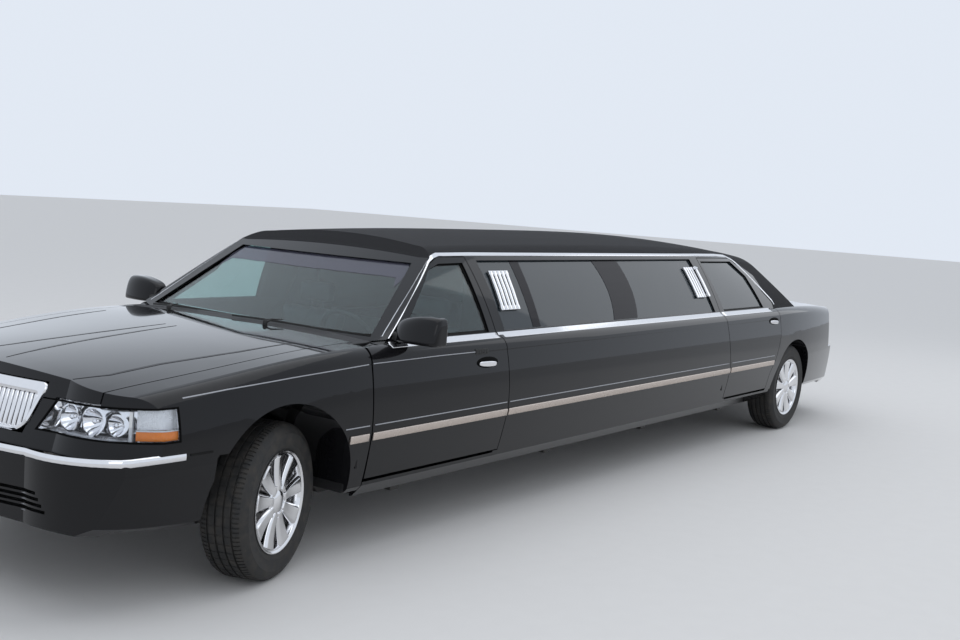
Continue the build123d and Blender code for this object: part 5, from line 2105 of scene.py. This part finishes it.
@dataclass
class Seats:
    """Padded seats in the space of the CAD ones."""

    voxel: float = 0.012
    pressure: float = 4.0
    cap: float = 0.024
    steps: int = 20
    seam_half: float = 0.014
    seam_depth: float = 0.007
    gap: float = 0.012
    post_radius: float = 0.006

    def blow_up(self, pad: bpy.types.Object) -> None:
        """Blows a closed mesh up as cloth under pressure, no point moving farther than the cap.

        Args:
            pad: the mesh.
        """
        rest = [v.co.copy() for v in pad.data.vertices]
        cloth = pad.modifiers.new("cloth", "CLOTH")
        cloth.settings.use_pressure = True
        cloth.settings.uniform_pressure_force = self.pressure
        cloth.settings.effector_weights.gravity = 0
        cloth.point_cache.frame_start = 1
        cloth.point_cache.frame_end = self.steps
        for step in range(1, self.steps + 1):
            bpy.context.scene.frame_set(step)
        bpy.context.view_layer.objects.active = pad
        bpy.ops.object.modifier_apply(modifier="cloth")
        for vertex, start in zip(pad.data.vertices, rest):
            move = vertex.co - start
            if move.length > self.cap:
                vertex.co = start + move * (self.cap / move.length)
        bpy.context.scene.frame_set(1)

    def puffed(self, blank: Blank, channels: Sequence[float], axis: int) -> Blank:
        """Blows a block up as cloth and presses seams into it.

        Args:
            blank: the block.
            channels: places of the seams.
            axis: the axis the places are measured along.

        Returns:
            The pad.
        """
        blank.soften(0.022, 3, 40)
        blank.modifier("REMESH", mode="VOXEL", voxel_size=self.voxel)
        self.blow_up(blank.object)
        blank.subdivide(1)
        points = blank.object.data.vertices
        centre = sum((v.co for v in points), Vector()) / len(points)

        def seam(p: Vector) -> Vector:
            """Draws a point in where it lies near a seam.

            Args:
                p: a vertex's place.

            Returns:
                Its new place.
            """
            near = min((abs(p[axis] - c) for c in channels), default=1.0)
            if near > self.seam_half:
                return p
            depth = self.seam_depth * (1 - near / self.seam_half) ** 2
            way = p - centre
            way[axis] = 0
            return p - way.normalized() * depth

        return blank.bend_points(seam).shade(60)

    def pad(self, name: str, low: Point, high: Point, lean: float, channels: int, axis: int) -> Blank:
        """One pad between two corners.

        Args:
            name: the pad's name.
            low: lowest corner.
            high: highest corner.
            lean: how far its top leans back for each metre of height.
            channels: how many seams cross it.
            axis: the axis the seams are spread along.

        Returns:
            The pad.
        """
        made = Blank.block(name, low, high)
        for share in (0.25, 0.5, 0.75):
            for way, (a, b) in enumerate(zip(low, high)):
                made.cut(way, a + (b - a) * share)
        made.bend_points(lambda p: Vector((p.x - (p.z - low[2]) * lean, p.y, p.z)))
        run = high[axis] - low[axis]
        return self.puffed(made, [low[axis] + run * (k + 1) / (channels + 1) for k in range(channels)], axis)

    def base(self, name: str, low: Point, high: Point) -> Blank:
        """The plain box under a cushion, with rounded edges."""
        return Blank.block(name, low, high).soften(0.012, 3).shade(40)

    def front(self) -> None:
        """The two front seats."""
        x = ahead(-1.540)
        cushion = self.pad("front_cushion_left", (x + 0.06, 0.190, 0.430), (x + 0.535, 0.675, 0.560), 0.0, 3, 1)
        back = self.pad("front_back_left", (x - 0.005, 0.190, 0.500), (x + 0.085, 0.675, 1.030), 0.19, 3, 1)
        rest = self.pad("front_headrest_left", (x - 0.105, 0.310, 1.050), (x - 0.035, 0.555, 1.160), 0.05, 0, 1)
        base = self.base("front_seat_base_left", (x + 0.03, 0.215, 0.336), (x + 0.50, 0.650, 0.430))
        posts = [
            Blank.rod("post", (x - 0.085, y, 0.98), (x - 0.075, y, 1.09), self.post_radius) for y in (0.380, 0.485)
        ]
        padded = [
            piece for pad in (cushion, back, rest)
            for piece in pad.dress_pair("body", Finishes.leather)
        ]
        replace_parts(padded[0], "front_seats")
        base.dress_pair("body", Finishes.trim)
        posts[0].join("headrest_posts_left", posts[1:]).dress_pair("body", Finishes.chrome)

    def row(self, name: str, first: Blank, count: int, step: Point) -> list[bpy.types.Object]:
        """Copies of a pad side by side, each dressed.

        Args:
            name: the row's name.
            first: the first pad.
            count: how many pads there are.
            step: the way from one to the next.

        Returns:
            The pads.
        """
        pads = [first]
        pads += [first.copy(f"{name}_{k + 1}").place(Matrix.Translation(Vector(step) * k)) for k in range(1, count)]
        pieces = [pad.dress("body", Finishes.leather) for pad in pads]
        return pieces

    def side_bench(self) -> None:
        """The bench along the right side, three pads long."""
        low, high = ahead(-4.150), ahead(-2.100)
        step = (high - low) / 3
        ends = low + self.gap, low + step - self.gap
        seat = self.pad("side_cushion_1", (ends[0], -0.690, 0.455), (ends[1], -0.350, 0.575), 0.0, 2, 0)
        pads = self.row("side_cushion", seat, 3, (step, 0, 0))
        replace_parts(pads[0], "lounge_seats")
        back = self.pad("side_back_1", (ends[0], -0.812, 0.600), (ends[1], -0.722, 0.965), 0.0, 2, 0)
        self.row("side_back", back, 3, (step, 0, 0))
        base = self.base("side_bench_base", (low + 0.01, -0.815, 0.332), (high - 0.01, -0.36, 0.455))
        base.dress("body", Finishes.lining)

    def rear_bench(self) -> None:
        """The bench across the rear, two pads wide."""
        x = REAR_AXLE_X + 0.520
        seat = self.pad("rear_cushion_1", (x + 0.09, -0.655, 0.455), (x + 0.535, -0.012, 0.575), 0.0, 2, 1)
        self.row("rear_cushion", seat, 2, (0, 0.667, 0))
        back = self.pad("rear_back_1", (x + 0.005, -0.655, 0.560), (x + 0.085, -0.012, 1.030), 0.14, 2, 1)
        self.row("rear_back", back, 2, (0, 0.667, 0))
        base = self.base("rear_bench_base", (x + 0.04, -0.66, 0.400), (x + 0.50, 0.66, 0.458))
        base.dress("body", Finishes.lining)

    def build(self) -> None:
        """Builds every seat."""
        self.front()
        self.side_bench()
        self.rear_bench()


@dataclass
class Studio:
    """Floor, light and camera."""

    sky: Point = (0.84, 0.88, 0.94)
    sky_strength: float = 0.86
    backdrop: Point = (0.80, 0.86, 0.95)
    backdrop_strength: float = 0.95
    floor_half: float = 60.0
    photo_width: float = 960.0
    sensor: float = 36.0
    focal: float = 1197.32
    place: Point = (6.72221, 4.5616, 1.7324)
    yaw: float = -2.51833
    pitch: float = 0.10195
    roll: float = -0.06687

    def camera(self) -> None:
        """Sets the camera at the photograph's viewpoint."""
        cy, sy, cp, sp = cos(self.yaw), sin(self.yaw), cos(self.pitch), sin(self.pitch)
        ahead_way = Vector((cy * cp, sy * cp, -sp))
        right = Vector((sy, -cy, 0))
        down = ahead_way.cross(right)
        x_axis = right * cos(self.roll) + down * sin(self.roll)
        y_axis = right * sin(self.roll) - down * cos(self.roll)
        turn = Matrix((x_axis, y_axis, -ahead_way)).transposed()
        data = bpy.data.cameras.new("camera")
        data.sensor_width = self.sensor
        data.lens = self.sensor * self.focal / self.photo_width
        data.clip_end = 200
        made = bpy.data.objects.new("camera", data)
        made.matrix_world = Matrix.Translation(self.place) @ turn.to_4x4()
        bpy.context.scene.collection.objects.link(made)
        bpy.context.scene.camera = made

    def area(self, name: str, place: Point, target: Point, size: float, power: float) -> None:
        """One soft square lamp.

        Args:
            name: the lamp's name.
            place: where it stands.
            target: what it faces.
            size: its side.
            power: its power in watts.
        """
        data = bpy.data.lights.new(name, "AREA")
        data.size = size
        data.energy = power
        made = bpy.data.objects.new(name, data)
        made.location = place
        made.rotation_euler = (Vector(target) - Vector(place)).to_track_quat("-Z", "Y").to_euler()
        bpy.context.scene.collection.objects.link(made)

    def world(self) -> None:
        """Soft sky light, with a pale backdrop where the camera or a reflection sees it."""
        world = bpy.data.worlds.new("studio")
        bpy.context.scene.world = world
        world.use_nodes = True
        tree = world.node_tree
        light = tree.nodes["Background"]
        backdrop = tree.nodes.new("ShaderNodeBackground")
        for node, colour, strength in (
            (light, self.sky, self.sky_strength),
            (backdrop, self.backdrop, self.backdrop_strength),
        ):
            node.inputs["Color"].default_value = (*colour, 1)
            node.inputs["Strength"].default_value = strength
        path = tree.nodes.new("ShaderNodeLightPath")
        mix = tree.nodes.new("ShaderNodeMixShader")
        seen = path.outputs["Is Camera Ray"]
        for other in ("Is Glossy Ray", "Is Transmission Ray"):
            either = tree.nodes.new("ShaderNodeMath")
            either.operation = "MAXIMUM"
            tree.links.new(seen, either.inputs[0])
            tree.links.new(path.outputs[other], either.inputs[1])
            seen = either.outputs["Value"]
        tree.links.new(seen, mix.inputs["Fac"])
        tree.links.new(light.outputs["Background"], mix.inputs[1])
        tree.links.new(backdrop.outputs["Background"], mix.inputs[2])
        tree.links.new(mix.outputs["Shader"], tree.nodes["World Output"].inputs["Surface"])

    def build(self) -> None:
        """Builds the studio."""
        far = self.floor_half
        floor = Blank.block("floor", (-far, -far, -0.05), (far, far, 0.0))
        floor.object.data.materials.append(Finishes.floor.material())
        self.area("overhead", (0.5, 1.0, 8.0), (0, 0, 0.5), 9.0, 150)
        self.area("key", (8.5, 7.5, 5.5), (1.0, 0, 0.6), 5.0, 60)
        self.area("tail", (-9.0, 3.5, 5.0), (-2.0, 0, 0.6), 5.0, 40)
        self.world()
        self.camera()
        bpy.context.scene.view_settings.view_transform = "Standard"


def main() -> None:
    """Builds every sub-assembly in order."""
    logging.basicConfig(level=logging.INFO, format="%(message)s")
    Studio().build()
    Bodywork().dress()
    for kind in (
        Mouldings, Tyres, Nose, Ornaments, Handles, Headlamps, Glass, Wipers, Mirrors, Rear, Seats
    ):
        kind().build()


if __name__ == "__main__":
    main()
